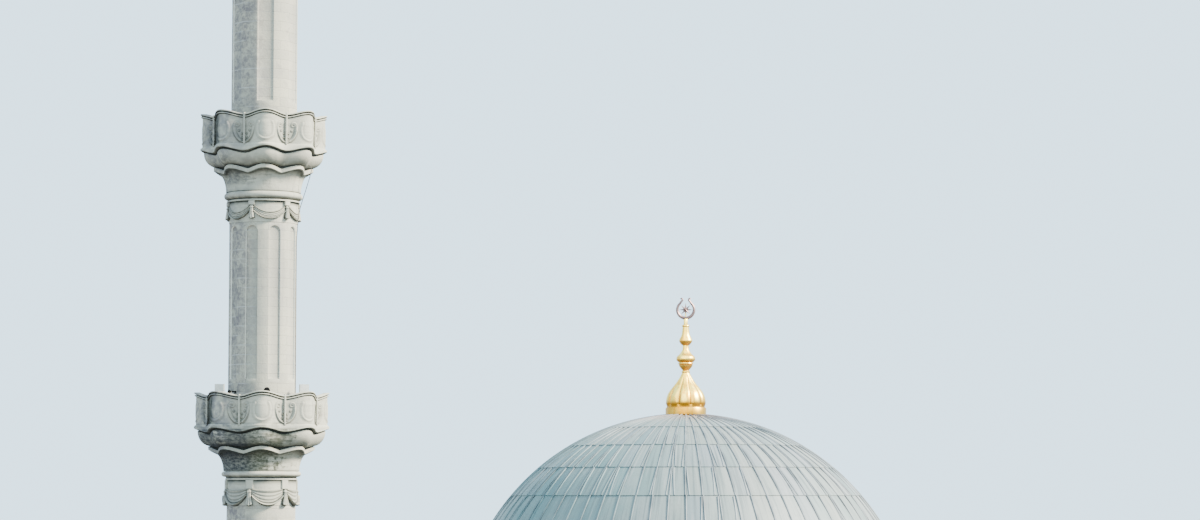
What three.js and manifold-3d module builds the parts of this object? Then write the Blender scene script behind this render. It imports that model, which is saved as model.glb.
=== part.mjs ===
// Domed mosque with one minaret, at half its real size.
// A square prayer hall stands on four corner towers. Four great arches and four pendentives
// turn the square into a circle, and a drum of windows carries the dome. The minaret rises
// beside the front left tower and has two lobed balconies on corbels.
// Every size below is the real one in metres. The half scale enters once, where a solid
// becomes a mesh. X runs to the right, Y to the back and Z up, from the middle of the hall.

import * as THREE from 'three';
import { mergeVertices } from 'three/addons/utils/BufferGeometryUtils.js';
import Module from 'manifold-3d';

const MODEL_MM = 500;
const GAP = 0.0006;
const QUARTER = Math.PI / 2;

// Driving dimensions of the hall
const FLOOR_TOP = 0.6;
const TOWER_IN = 6.4;
const TOWER_OUT = 8.8;
const WALL_IN = 7.0;
const WALL_OUT = 8.5;
const SPRING = 9.6;
const CORNICE_HEIGHT = 0.5;
const CORNICE_REACH = 0.25;
const TOWER_TOP = 14.0;

// Driving dimensions of the arches and of the round parts that they carry
const PENDENTIVE_R = TOWER_IN * Math.SQRT2;
const EXTRADOS_R = 10.0;
const ARCH_IN = Math.sqrt(PENDENTIVE_R ** 2 - WALL_IN ** 2);
const ARCH_OUT = Math.sqrt(EXTRADOS_R ** 2 - WALL_IN ** 2);
const DRUM_FOOT = 16.3;
const DRUM_TOP = 18.2;
const DRUM_OUT = 7.35;
const DOME_Z = 17.87;
const DOME_OUT = 7.1;
const DOME_IN = 6.45;
const DOME_SEAT_R = 0.66;
const ROUND = 40;

// Driving dimensions of the minaret
const MINARET = { x: -11.02, y: -7.3 };
const BASE_HALF = 1.9;
const BASE_TOP = 9.0;
const BORE_R = 0.62;
const SHAFT_FOOT = 12.6;
const SHAFT_TOP = 40.6;
const CONE_TOP = 47.8;
const LOBES = 8;
const LOBE_TURN = 7.5;
const VIEW_TURN = Math.PI / 8;
const LOWER_BALCONY = { foot: 22.14, floor: 24.58, shaft: 1.04, rim: 2.05, lobe: 0.3 };
const UPPER_BALCONY = { foot: 30.7, floor: 33.04, shaft: 1.03, rim: 1.93, lobe: 0.26 };
const UPPER_SHAFT_R = 1.0;

// Cutting solids run from in front of the walls to inside the hall, and over every top
const CUT = { front: -9.5, inside: -6, over: 20 };

// Finishes
const stone = new THREE.MeshStandardMaterial({ color: 0xb9b9ae, roughness: 0.9, metalness: 0 });
const carved = new THREE.MeshStandardMaterial({ color: 0xc2c0b4, roughness: 0.88, metalness: 0 });
const lead = new THREE.MeshStandardMaterial({ color: 0x8f9b9f, roughness: 0.55, metalness: 0.35 });
const gilt = new THREE.MeshStandardMaterial({ color: 0xd8b46a, roughness: 0.28, metalness: 1 });

const wasm = await Module();
wasm.setup();

const mosque = new THREE.Group();
mosque.name = 'mosque';

// A closed geometry becomes a solid that can be joined and cut
function solidOf(geometry) {
  geometry.deleteAttribute('normal');
  geometry.deleteAttribute('uv');
  const merged = mergeVertices(geometry, 1e-5);
  const triVerts = [];
  for (let i = 0; i < merged.index.count; i += 3) {
    const [a, b, c] = [0, 1, 2].map((k) => merged.index.getX(i + k));
    if (a !== b && b !== c && c !== a) triVerts.push(a, b, c);
  }
  return new wasm.Manifold(new wasm.Mesh({
    numProp: 3,
    vertProperties: new Float32Array(merged.attributes.position.array),
    triVerts: new Uint32Array(triVerts),
  }));
}

// A solid becomes a named mesh in model millimetres
function place(name, solid, material, turn = 0, x = 0, y = 0) {
  const { vertProperties, triVerts } = solid.getMesh();
  const geometry = new THREE.BufferGeometry();
  geometry.setAttribute('position', new THREE.BufferAttribute(vertProperties, 3));
  geometry.setIndex(new THREE.BufferAttribute(triVerts, 1));
  geometry.scale(MODEL_MM, MODEL_MM, MODEL_MM);
  geometry.computeVertexNormals();
  const mesh = new THREE.Mesh(geometry, material);
  mesh.name = name;
  mesh.rotation.z = turn;
  mesh.position.set(x * MODEL_MM, y * MODEL_MM, 0);
  mosque.add(mesh);
}

function placeAtMinaret(name, solid, material, turn = 0) {
  place(name, solid, material, turn, MINARET.x, MINARET.y);
}

function box(x0, x1, y0, y1, z0, z1) {
  const geometry = new THREE.BoxGeometry(x1 - x0, y1 - y0, z1 - z0);
  geometry.translate((x0 + x1) / 2, (y0 + y1) / 2, (z0 + z1) / 2);
  return solidOf(geometry);
}

// A solid turned about the vertical axis, from [radius, height] points going anticlockwise
function turned(points, segments) {
  const profile = points.map(([r, z]) => new THREE.Vector2(r, z));
  const geometry = new THREE.LatheGeometry(profile, segments);
  geometry.rotateX(QUARTER);
  return solidOf(geometry);
}

function ring(inner, outer, z0, z1, segments) {
  return turned([[inner, z0], [outer, z0], [outer, z1], [inner, z1], [inner, z0]], segments);
}

// A flat outline in X and Z, carried from one Y to another
function upright(shape, yFront, yBack, curveSegments = 3) {
  const settings = { depth: yBack - yFront, bevelEnabled: false, curveSegments };
  const geometry = new THREE.ExtrudeGeometry(shape, settings);
  geometry.rotateX(QUARTER);
  geometry.translate(0, yBack, 0);
  return solidOf(geometry);
}

// The outline of an opening with a round head, or a square one where spring is its top
function openingShape(x, width, sill, spring, round = true) {
  const shape = new THREE.Shape();
  shape.moveTo(x - width / 2, sill);
  shape.lineTo(x + width / 2, sill);
  shape.lineTo(x + width / 2, spring);
  if (round) shape.absarc(x, spring, width / 2, 0, Math.PI, false);
  shape.lineTo(x - width / 2, spring);
  return shape;
}

function joined(solids) {
  return solids.reduce((sum, next) => sum.add(next));
}

function cut(solid, cutters) {
  return cutters.reduce((rest, cutter) => rest.subtract(cutter), solid);
}

// Floor and entrance
const STEP = { rise: 0.15, tread: 0.32, count: 3, half: 2.2 };
const DOOR = { width: 2.0, spring: 3.6 };

place('floor_slab', box(-TOWER_OUT, TOWER_OUT, -TOWER_OUT, TOWER_OUT, 0, FLOOR_TOP), stone);

const steps = [];
for (let i = 0; i < STEP.count; i += 1) {
  const front = -TOWER_OUT - GAP - (STEP.count - i) * STEP.tread;
  steps.push(box(-STEP.half, STEP.half, front, -TOWER_OUT - GAP, 0, (i + 1) * STEP.rise));
}
place('entrance_steps', joined(steps), stone);

const PORTAL = { half: 1.75, shoulder: 4.75, bow: 0.9, bowTop: 4.95, crown: 5.35 };
const surround = new THREE.Shape();
surround.moveTo(-PORTAL.half, FLOOR_TOP + GAP);
surround.lineTo(PORTAL.half, FLOOR_TOP + GAP);
surround.lineTo(PORTAL.half, PORTAL.shoulder);
surround.quadraticCurveTo(PORTAL.bow, PORTAL.bowTop, 0, PORTAL.crown);
surround.quadraticCurveTo(-PORTAL.bow, PORTAL.bowTop, -PORTAL.half, PORTAL.shoulder);
const portal = upright(surround, -TOWER_OUT, -WALL_OUT - GAP);
const doorway = upright(openingShape(0, DOOR.width, 0, DOOR.spring), CUT.front, CUT.inside, 5);
place('portal_surround', portal.subtract(doorway), carved);

// Lower walls, each between two corner towers
const BAYS = [-4.8, -2.4, 0, 2.4, 4.8];
const LOW_WINDOW = { width: 1.15, sill: 1.6, top: 3.9 };
const HIGH_WINDOW = { width: 1.25, sill: 5.5, spring: 7.3 };

function wallSolid(hasDoor) {
  const half = TOWER_IN - GAP;
  const body = box(-half, half, -WALL_OUT, -WALL_IN, FLOOR_TOP + GAP, SPRING);
  const band = box(-half, half, -WALL_OUT - CORNICE_REACH, -WALL_OUT + 0.1,
    SPRING - CORNICE_HEIGHT, SPRING);
  const openings = [];
  for (const x of BAYS) {
    const low = openingShape(x, LOW_WINDOW.width, LOW_WINDOW.sill, LOW_WINDOW.top, false);
    const high = openingShape(x, HIGH_WINDOW.width, HIGH_WINDOW.sill, HIGH_WINDOW.spring);
    if (!(hasDoor && x === 0)) openings.push(upright(low, CUT.front, CUT.inside));
    openings.push(upright(high, CUT.front, CUT.inside));
  }
  if (hasDoor) openings.push(doorway);
  return cut(joined([body, band]), openings);
}

// Great arches, and the tympana that fill them
const ARCH_HOOD = { inner: 6.6, reach: 0.25, tall: 0.12 };
const TYMPANUM = { front: 8.1, back: 7.4 };
const TYMPANUM_ROWS = [
  { sill: 0.8, spring: 2.3, width: 1.1, at: [-3.8, -1.9, 0, 1.9, 3.8] },
  { sill: 3.4, spring: 4.15, width: 1.0, at: [-1.9, 0, 1.9] },
];

function archShape(inner, outer) {
  const shape = new THREE.Shape();
  shape.absarc(0, SPRING, outer, 0, Math.PI, false);
  shape.absarc(0, SPRING, inner, Math.PI, 0, true);
  return shape;
}

function archSolid() {
  const body = upright(archShape(ARCH_IN, ARCH_OUT), -WALL_OUT, -WALL_IN, 12);
  const hood = upright(archShape(ARCH_HOOD.inner, ARCH_OUT + ARCH_HOOD.tall),
    -WALL_OUT - ARCH_HOOD.reach, -WALL_OUT + 0.3, 12);
  const half = TOWER_IN - GAP;
  const bay = box(-half, half, CUT.front, CUT.inside, SPRING + GAP, CUT.over);
  const drumSeat = turned([[0, DRUM_FOOT - GAP], [DRUM_OUT + GAP, DRUM_FOOT - GAP],
    [DRUM_OUT + GAP, CUT.over], [0, CUT.over]], ROUND);
  return joined([body, hood]).intersect(bay).subtract(drumSeat);
}

function tympanumSolid() {
  const fill = new THREE.Shape();
  fill.absarc(0, SPRING, ARCH_IN - GAP * 2, 0, Math.PI, false);
  const wall = upright(fill, -TYMPANUM.front, -TYMPANUM.back, 12);
  const windows = [];
  for (const row of TYMPANUM_ROWS) {
    for (const x of row.at) {
      const shape = openingShape(x, row.width, SPRING + row.sill, SPRING + row.spring);
      windows.push(upright(shape, CUT.front, CUT.inside));
    }
  }
  const above = box(-WALL_IN, WALL_IN, CUT.front, CUT.inside, SPRING + GAP, CUT.over);
  return cut(wall, windows).intersect(above);
}

// Corner towers with an eight-sided turret and a lead cap
const TURRET = { r: 0.98, plinth: 1.06, foot: 14.35, plinthTop: 14.6, top: 15.9, lip: 1.16, lipTop: 16.15 };
const CAP_SLAB_REACH = 0.14;
const TOWER_MID = (TOWER_IN + TOWER_OUT) / 2;

function towerSolid() {
  const reach = TOWER_OUT + CORNICE_REACH;
  const shaft = box(TOWER_IN, TOWER_OUT, TOWER_IN, TOWER_OUT, FLOOR_TOP + GAP, TOWER_TOP);
  const band = box(TOWER_IN, reach, TOWER_IN, reach, SPRING - CORNICE_HEIGHT, SPRING);
  const [near, far] = [TOWER_IN - CAP_SLAB_REACH, TOWER_OUT + CAP_SLAB_REACH];
  const cap = box(near, far, near, far, TOWER_TOP - 0.02, TURRET.foot);
  const turret = turned([
    [0, TURRET.foot - 0.02], [TURRET.plinth, TURRET.foot - 0.02], [TURRET.plinth, TURRET.plinthTop],
    [TURRET.r, TURRET.plinthTop + 0.1], [TURRET.r, TURRET.top - 0.1], [TURRET.lip, TURRET.top + 0.05],
    [TURRET.lip, TURRET.lipTop], [0, TURRET.lipTop],
  ], 8).rotate([0, 0, 22.5]).translate([TOWER_MID, TOWER_MID, 0]);
  return joined([shaft, band, cap, turret]);
}

function towerCapSolid() {
  const foot = TURRET.lipTop + GAP;
  const bell = new THREE.CubicBezierCurve(
    new THREE.Vector2(1.04, foot + 0.08), new THREE.Vector2(0.98, foot + 1.05),
    new THREE.Vector2(0.3, foot + 1.0), new THREE.Vector2(0.12, foot + 1.75));
  const points = bell.getPoints(5).map((p) => [p.x, p.y]);
  const knob = [[0.2, foot + 1.9], [0.2, foot + 2.0], [0.07, foot + 2.2], [0, foot + 2.55]];
  return turned([[0, foot], [1.04, foot], ...points, ...knob], 8)
    .rotate([0, 0, 22.5])
    .translate([TOWER_MID, TOWER_MID, 0]);
}

// Pendentives: a quarter of the shell between two spheres, clear of the tower
function pendentiveSolid() {
  const outer = solidOf(new THREE.SphereGeometry(EXTRADOS_R, 40, 20)).translate([0, 0, SPRING]);
  const inner = solidOf(new THREE.SphereGeometry(PENDENTIVE_R, 40, 20)).translate([0, 0, SPRING]);
  const quarter = box(GAP, WALL_IN - GAP, GAP, WALL_IN - GAP, SPRING + 0.05, DRUM_FOOT - GAP);
  const eye = turned([[0, SPRING], [DOME_IN, SPRING], [DOME_IN, CUT.over], [0, CUT.over]], ROUND);
  const tower = box(TOWER_IN - GAP, 9, TOWER_IN - GAP, 9, 0, TOWER_TOP + 1);
  const near = TOWER_IN - CAP_SLAB_REACH - GAP;
  const lip = box(near, 9, near, 9, TOWER_TOP - 0.03, TOWER_TOP + 1);
  return cut(outer.intersect(quarter), [inner, eye, tower, lip]);
}

const SIDES = ['front', 'right', 'back', 'left'];
const CORNERS = ['back_right', 'back_left', 'front_left', 'front_right'];
const plainWall = wallSolid(false);
const arch = archSolid();
const tympanum = tympanumSolid();
const tower = towerSolid();
const towerCap = towerCapSolid();
const pendentive = pendentiveSolid();

SIDES.forEach((side, i) => {
  place(`${side}_wall`, side === 'front' ? wallSolid(true) : plainWall, stone, i * QUARTER);
  place(`${side}_great_arch`, arch, carved, i * QUARTER);
  place(`${side}_tympanum`, tympanum, stone, i * QUARTER);
});
CORNERS.forEach((corner, i) => {
  place(`${corner}_tower`, tower, stone, i * QUARTER);
  place(`${corner}_tower_cap`, towerCap, lead, i * QUARTER);
  place(`${corner}_pendentive`, pendentive, lead, i * QUARTER);
});

// Drum, its cornice and the dome
const DRUM_WINDOWS = 16;
const DRUM_WINDOW = { width: 0.95, sill: 16.75, spring: 17.3 };

const drumWindows = [];
for (let i = 0; i < DRUM_WINDOWS; i += 1) {
  const shape = openingShape(0, DRUM_WINDOW.width, DRUM_WINDOW.sill, DRUM_WINDOW.spring);
  const angle = (360 * (i + 0.5)) / DRUM_WINDOWS;
  drumWindows.push(upright(shape, CUT.front, CUT.inside + 0.5).rotate([0, 0, angle]));
}
const drum = cut(ring(DOME_IN, DRUM_OUT, DRUM_FOOT, DRUM_TOP, ROUND), drumWindows);
place('drum', drum, stone);

place('drum_cornice', turned([
  [DOME_OUT + 0.02, DRUM_TOP + GAP], [DRUM_OUT, DRUM_TOP + GAP], [DRUM_OUT + 0.12, 18.35],
  [DRUM_OUT + 0.28, 18.42], [DRUM_OUT + 0.28, 18.58], [DOME_OUT + 0.02, 18.7],
  [DOME_OUT + 0.02, DRUM_TOP + GAP],
], ROUND), carved);

function domePoints(radius, from, to, count) {
  const points = [];
  for (let i = 0; i <= count; i += 1) {
    const angle = from + ((to - from) * i) / count;
    points.push([radius * Math.cos(angle), DOME_Z + radius * Math.sin(angle)]);
  }
  return points;
}

const domeFoot = DRUM_TOP + GAP;
const footAngle = Math.asin((domeFoot - DOME_Z) / DOME_OUT);
const innerFootAngle = Math.asin((domeFoot - DOME_Z) / DOME_IN);
const seatAngle = Math.acos(DOME_SEAT_R / DOME_OUT);
const domeOuter = domePoints(DOME_OUT, footAngle, seatAngle, 9);
const domeInner = domePoints(DOME_IN, QUARTER, innerFootAngle, 5);
domeInner[0][0] = 0;
const seatZ = DOME_Z + DOME_OUT * Math.sin(seatAngle);
place('dome', turned([...domeInner, ...domeOuter, [0, seatZ]], ROUND), lead);

// Gilded finial of the dome: a gored bulb, two knobs and an open crescent round a star
function finialTurned(rows, foot, segments) {
  const points = rows.map(([r, z]) => [r, foot + z]);
  return turned([[0, foot], ...points], segments);
}

const DOME_FINIAL_ROWS = [
  [0.62, 0], [0.62, 0.25], [0.62, 0.35], [0.56, 0.69], [0.33, 1.02], [0.11, 1.32], [0.13, 1.35],
  [0.11, 1.41], [0.19, 1.51], [0.22, 1.63], [0.29, 1.71], [0.18, 1.91], [0.095, 2.05],
  [0.095, 2.18], [0.2, 2.31], [0.125, 2.53], [0.095, 2.76], [0.12, 2.79], [0.065, 2.85],
  [0.065, 2.99], [0, 3.05],
];
const CRESCENT = { r: 0.26, z: 3.3, thick: 0.036, open: 0.62 };

function crescentSolid(foot) {
  const route = new THREE.CatmullRomCurve3([-1, -0.75, -0.5, -0.25, 0, 0.25, 0.5, 0.75, 1].map((t) => {
    const angle = t * (Math.PI - CRESCENT.open) - QUARTER;
    return new THREE.Vector3(CRESCENT.r * Math.cos(angle), 0,
      foot + CRESCENT.z + CRESCENT.r * Math.sin(angle));
  }));
  const section = new THREE.Shape();
  section.absarc(0, 0, CRESCENT.thick, 0, Math.PI * 2, false);
  const settings = { steps: 14, extrudePath: route, bevelEnabled: false, curveSegments: 3 };
  return solidOf(new THREE.ExtrudeGeometry(section, settings));
}

function starSolid(foot) {
  const shape = new THREE.Shape();
  for (let i = 0; i < 16; i += 1) {
    const r = i % 2 ? 0.06 : 0.15;
    const angle = (i * Math.PI) / 8;
    const [x, z] = [r * Math.cos(angle), foot + CRESCENT.z + r * Math.sin(angle)];
    if (i === 0) shape.moveTo(x, z);
    else shape.lineTo(x, z);
  }
  const stem = box(-0.02, 0.02, -0.02, 0.02, foot + 2.97, foot + CRESCENT.z);
  return upright(shape, -0.02, 0.02).add(stem);
}

const finialFoot = seatZ + GAP;
const domeFinial = joined([
  finialTurned(DOME_FINIAL_ROWS, finialFoot, 12), crescentSolid(finialFoot), starSolid(finialFoot),
]);
place('dome_finial', domeFinial, gilt, VIEW_TURN);

// Minaret base, with a door to the stair on its back face
const STAIR_DOOR = { width: 0.8, spring: 2.6 };
const boreCut = turned([[0, FLOOR_TOP], [BORE_R, FLOOR_TOP], [BORE_R, 45], [0, 45]], 16);
const stairDoor = upright(openingShape(0, STAIR_DOOR.width, FLOOR_TOP, STAIR_DOOR.spring), 0, 2.5);
const baseBlock = joined([
  box(-BASE_HALF, -TOWER_OUT - GAP - MINARET.x, -BASE_HALF, BASE_HALF, 0, BASE_TOP),
  box(-BASE_HALF - 0.12, -TOWER_OUT - GAP - MINARET.x, -BASE_HALF - 0.12, BASE_HALF + 0.12, 0, 0.9),
]);
placeAtMinaret('minaret_base', cut(baseBlock, [boreCut, stairDoor]), stone);

// A turned solid whose rows swell into lobes and rise and fall with them.
// A row is [radius, height, lobe depth, wave height], the last two from crest to cusp.
function lobedSolid(rows, segments) {
  const profile = rows.map(([r, z]) => new THREE.Vector2(r, z));
  const geometry = new THREE.LatheGeometry(profile, segments);
  geometry.rotateX(QUARTER);
  const { position } = geometry.attributes;
  for (let i = 0; i < position.count; i += 1) {
    const [r, z, lobe = 0, wave = 0] = rows[i % rows.length];
    const angle = Math.atan2(position.getY(i), position.getX(i));
    const fall = (1 + Math.cos(LOBES * angle)) / 2;
    const radius = r - lobe * fall;
    position.setXYZ(i, radius * Math.cos(angle), radius * Math.sin(angle), z - wave * fall);
  }
  return solidOf(geometry).rotate([0, 0, LOBE_TURN]);
}

// The foot of the shaft passes from the square base to a circle under a round moulding
function footSolid() {
  const segments = 24;
  const rows = [
    [BORE_R, BASE_TOP + GAP, 0], [1.75, BASE_TOP + GAP, 1], [1.75, 9.5, 1], [1.62, 9.6, 1],
    [1.45, 10.6, 0.6], [1.22, 11.7, 0.1], [1.16, 12.0, 0], [1.24, 12.12, 0], [1.24, 12.36, 0],
    [1.1, 12.44, 0], [1.1, SHAFT_FOOT - GAP, 0], [BORE_R, SHAFT_FOOT - GAP, 0],
    [BORE_R, BASE_TOP + GAP, 0],
  ];
  const profile = rows.map(([r, z]) => new THREE.Vector2(r, z));
  const geometry = new THREE.LatheGeometry(profile, segments);
  geometry.rotateX(QUARTER);
  const { position } = geometry.attributes;
  for (let i = 0; i < position.count; i += 1) {
    const [r, z, square] = rows[i % rows.length];
    const angle = Math.atan2(position.getY(i), position.getX(i));
    const toSquare = 1 / Math.max(Math.abs(Math.cos(angle)), Math.abs(Math.sin(angle)));
    const radius = r * (1 + square * (toSquare - 1));
    position.setXYZ(i, radius * Math.cos(angle), radius * Math.sin(angle), z);
  }
  return solidOf(geometry);
}
placeAtMinaret('minaret_foot', footSolid(), stone);

// Shafts: a tube with eight sunk panels, and a door to each balcony at the back
const PANEL = { width: 0.38, depth: 0.055 };
const LOWER_PANELS = { foot: 13.0, head: 21.95 };
const MIDDLE_PANELS = { foot: 25.95, head: 30.6 };
const UPPER_PANELS = { foot: 34.4, head: 40.2 };
const BALCONY_DOOR = { width: 0.62, height: 1.5 };

function shaftSolid(r, z0, z1, panels, doorFloor = null) {
  const tube = ring(BORE_R, r, z0 + GAP, z1 - GAP, 24);
  const cutters = [];
  const shape = openingShape(0, PANEL.width, panels.foot, panels.head - PANEL.width / 2);
  for (let i = 0; i < LOBES; i += 1) {
    if (doorFloor !== null && i === LOBES / 2) continue;
    const turn = (i * 360) / LOBES + LOBE_TURN;
    cutters.push(upright(shape, -r - 0.2, -r + PANEL.depth).rotate([0, 0, turn]));
  }
  if (doorFloor !== null) {
    const sill = doorFloor + GAP;
    const door = openingShape(0, BALCONY_DOOR.width, sill - 0.1, sill + BALCONY_DOOR.height);
    cutters.push(upright(door, 0, 2));
  }
  return cut(tube, cutters);
}

placeAtMinaret('lower_shaft',
  shaftSolid(LOWER_BALCONY.shaft, SHAFT_FOOT, LOWER_BALCONY.foot, LOWER_PANELS), stone);
placeAtMinaret('middle_shaft', shaftSolid(UPPER_BALCONY.shaft, LOWER_BALCONY.floor,
  UPPER_BALCONY.foot, MIDDLE_PANELS, LOWER_BALCONY.floor), stone);
placeAtMinaret('upper_shaft', shaftSolid(UPPER_SHAFT_R, UPPER_BALCONY.floor,
  SHAFT_TOP, UPPER_PANELS, UPPER_BALCONY.floor), stone);

// Corbels: swag band, fillet, torus, cove, wavy band and lobed ovolo, up to the balcony floor
function corbelSolid({ foot, floor, shaft, rim, lobe }) {
  const h = floor - foot;
  const at = (share) => foot + GAP + (h - 2 * GAP) * share;
  const rows = [
    [BORE_R, at(0)], [shaft + 0.02, at(0)], [shaft + 0.05, at(0.22)], [shaft + 0.11, at(0.24)],
    [shaft + 0.2, at(0.29)], [shaft + 0.2, at(0.36)], [shaft + 0.15, at(0.39)],
    [shaft + 0.3, at(0.61), lobe * 0.5, 0.1], [rim * 0.775, at(0.665), lobe * 0.8, 0.15],
    [rim * 0.775, at(0.71), lobe * 0.8, 0.15], [rim * 0.945, at(0.82), lobe * 0.9, 0.14],
    [rim * 0.96, at(0.91), lobe, 0.14], [rim, at(0.92), lobe, 0.14], [rim, at(1), lobe, 0],
    [BORE_R, at(1)], [BORE_R, at(0)],
  ];
  return lobedSolid(rows, 48);
}

// Parapets follow the lobes of the floor and carry a coping that rises and falls with them
const PARAPET = { thick: 0.17, height: 0.94, wave: 0.15, coping: 0.13, reach: 0.03 };

function parapetSolid({ floor, rim, lobe }) {
  const inside = rim - PARAPET.thick;
  const top = floor + PARAPET.height;
  const ledge = top - PARAPET.coping;
  const { wave, reach } = PARAPET;
  const rows = [
    [inside, floor + GAP, lobe, 0], [rim - reach, floor + GAP, lobe, 0],
    [rim - reach, ledge, lobe, wave], [rim, ledge + reach, lobe, wave], [rim, top, lobe, wave],
    [inside, top, lobe, wave], [inside, floor + GAP, lobe, 0],
  ];
  return lobedSolid(rows, 48);
}

placeAtMinaret('lower_balcony_corbel', corbelSolid(LOWER_BALCONY), carved);
placeAtMinaret('lower_balcony_parapet', parapetSolid(LOWER_BALCONY), carved);
placeAtMinaret('upper_balcony_corbel', corbelSolid(UPPER_BALCONY), carved);
placeAtMinaret('upper_balcony_parapet', parapetSolid(UPPER_BALCONY), carved);

// Cornice under the lead cone, the cone and its finial
placeAtMinaret('minaret_cornice', turned([
  [BORE_R, SHAFT_TOP], [1.01, SHAFT_TOP], [1.03, 40.8], [1.16, 40.95], [1.16, 41.15],
  [1.24, 41.22], [1.24, 41.35], [BORE_R, 41.35], [BORE_R, SHAFT_TOP],
], 24), carved);

placeAtMinaret('minaret_cone', turned([
  [0, 41.5], [BORE_R, 41.5], [BORE_R, 41.35 + GAP], [1.27, 41.35 + GAP], [1.3, 41.5],
  [1.06, 41.85], [0.12, CONE_TOP], [0, CONE_TOP],
], 24), lead);

const MINARET_FINIAL_ROWS = [
  [0.15, 0], [0.15, 0.08], [0.08, 0.15], [0.08, 0.3], [0.3, 0.62], [0.08, 0.98], [0.08, 1.1],
  [0.21, 1.32], [0.07, 1.58], [0.07, 1.68], [0.14, 1.82], [0.05, 2.0], [0.05, 2.2], [0, 2.3],
];
placeAtMinaret('minaret_finial', finialTurned(MINARET_FINIAL_ROWS, CONE_TOP + GAP, 12), gilt);

export default mosque;
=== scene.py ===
# %% [markdown]
# # Dressing a domed mosque and its minaret
# The solid frame holds the building at half its real size. This script gives it its looks: lead sheets with
# rolls on the dome, carved stone balconies, coursed stone, gilded finials. Every size here is the real one in
# metres, as a mason would write it, and one helper halves it when a mesh is made, so both files speak of the
# same sizes.

# %% Load the frame
import math

import bmesh
import bpy
import numpy as np
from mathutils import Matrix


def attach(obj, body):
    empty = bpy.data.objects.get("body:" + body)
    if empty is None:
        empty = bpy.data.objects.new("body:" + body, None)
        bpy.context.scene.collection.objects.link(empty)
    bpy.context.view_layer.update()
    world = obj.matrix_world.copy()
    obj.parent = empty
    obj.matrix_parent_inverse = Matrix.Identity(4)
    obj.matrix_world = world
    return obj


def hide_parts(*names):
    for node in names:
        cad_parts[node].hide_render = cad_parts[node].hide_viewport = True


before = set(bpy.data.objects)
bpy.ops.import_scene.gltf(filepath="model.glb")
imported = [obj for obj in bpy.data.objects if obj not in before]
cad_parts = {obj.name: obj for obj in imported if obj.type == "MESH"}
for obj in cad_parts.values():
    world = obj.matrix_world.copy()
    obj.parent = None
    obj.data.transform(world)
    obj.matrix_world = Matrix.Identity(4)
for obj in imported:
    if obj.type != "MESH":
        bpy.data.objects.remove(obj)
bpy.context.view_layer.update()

# %% Sizes
# K is the model's scale, and HAIR the gap between two pieces that touch
K, HAIR = 0.5, 0.0006
FLOOR_TOP, SPRING = 0.6, 9.6
WALL_OUT, TOWER_MID = 8.5, 7.6
DRUM_FOOT, DRUM_TOP, DRUM_OUT = 16.3, 18.2, 7.35
DOME_Z, DOME_OUT, DOME_IN, SEAT_R = 17.87, 7.1, 6.45, 0.66
MINARET = (-11.02, -7.3)
BORE_R, SHAFT_FOOT, SHAFT_TOP, CONE_TOP = 0.62, 12.6, 40.6, 47.8
# One balcony with its corbel and swags: heights above the ground, radii, and how far its lobes are turned
LOWER = dict(name="lower", foot=22.14, floor=24.58, shaft=1.04, rim=2.05, lobe=0.23, edge=24.46, top=25.56,
             turn=6.3, fillet=(22.90, 22.96), torus=(23.0, 23.17), band=(23.81, 23.92), ledge=0.05,
             block=(0.115, 0.27), cloth=(0.0, 0.03, 0.22, 0.30), beads=0)
UPPER = dict(name="upper", foot=30.7, floor=33.04, shaft=1.03, rim=1.93, lobe=0.24, edge=32.93, top=34.06,
             turn=7.5, fillet=(31.34, 31.40), torus=(31.43, 31.64), band=(32.30, 32.42), ledge=0.08,
             block=(0.09, 0.13), cloth=(0.0, 0.20, 0.20, 0.23), beads=11)
UPPER_SHAFT_R = 1.0
# Sheets of lead round the dome, with a roll between each two
SHEETS = 69
LOBE_TURN = math.radians(7.5)
FACING = math.radians(22.5)
TOWER_FACING = math.radians(28.5)

# %% [markdown]
# ## From rows of points to solids
# Nearly everything here is turned about an upright axis, on paper first: a row of points for each height, all
# rows with the same number of columns. Written as one block of numbers, a row can swell into lobes or carry
# carving, which a plain turned modifier can't do. Angles run anticlockwise from the front, so 22.5 degrees
# faces the camera.


# %% Helpers for meshes
def circle(columns):
    return np.arange(columns) * (2 * math.pi / columns)


def around(centre, radius, angle, z):
    """Points round an upright axis."""
    x = centre[0] + radius * np.sin(angle)
    return np.stack([x, centre[1] - radius * np.cos(angle), np.broadcast_to(z, x.shape)], -1)


def turned_rows(profile, columns, centre=(0, 0)):
    r, z = np.array(profile, float).T
    return around(centre, r[:, None], circle(columns), z[:, None])


def ring_faces(rows, columns, rows_close=True):
    i, j = np.meshgrid(np.arange(rows if rows_close else rows - 1), np.arange(columns), indexing="ij")
    right, above = (j + 1) % columns, (i + 1) % rows
    corners = [i * columns + j, i * columns + right, above * columns + right, above * columns + j]
    return np.stack(corners, -1).reshape(-1, 4).tolist()


def new_piece(name, points, faces, finish, hides=(), sharp=35, marks=None):
    mesh = bpy.data.meshes.new(name)
    mesh.from_pydata((np.asarray(points, float).reshape(-1, 3) * K).tolist(), [], faces)
    for mark, values in (marks or {}).items():
        where = "POINT" if len(values) == len(mesh.vertices) else "FACE"
        mesh.attributes.new(mark, "FLOAT", where).data.foreach_set("value", np.asarray(values, float))
    thing = bpy.data.objects.new(name, mesh)
    bpy.context.scene.collection.objects.link(thing)
    return settle(thing, finish, hides, sharp)


def settle(thing, finish, hides=(), sharp=35):
    """Smooth shading, finish and body for a mesh that is done."""
    mesh = thing.data
    mesh.shade_smooth()
    mesh.set_sharp_from_angle(angle=math.radians(sharp))
    if finish:
        mesh.materials.clear()
        mesh.materials.append(finish.material)
        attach(thing, "root")
        if hides:
            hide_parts(*hides)
        triangles = sum(len(face.vertices) - 2 for face in mesh.polygons)
        print(f"{thing.name}: {triangles} triangles")
    return thing


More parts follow.
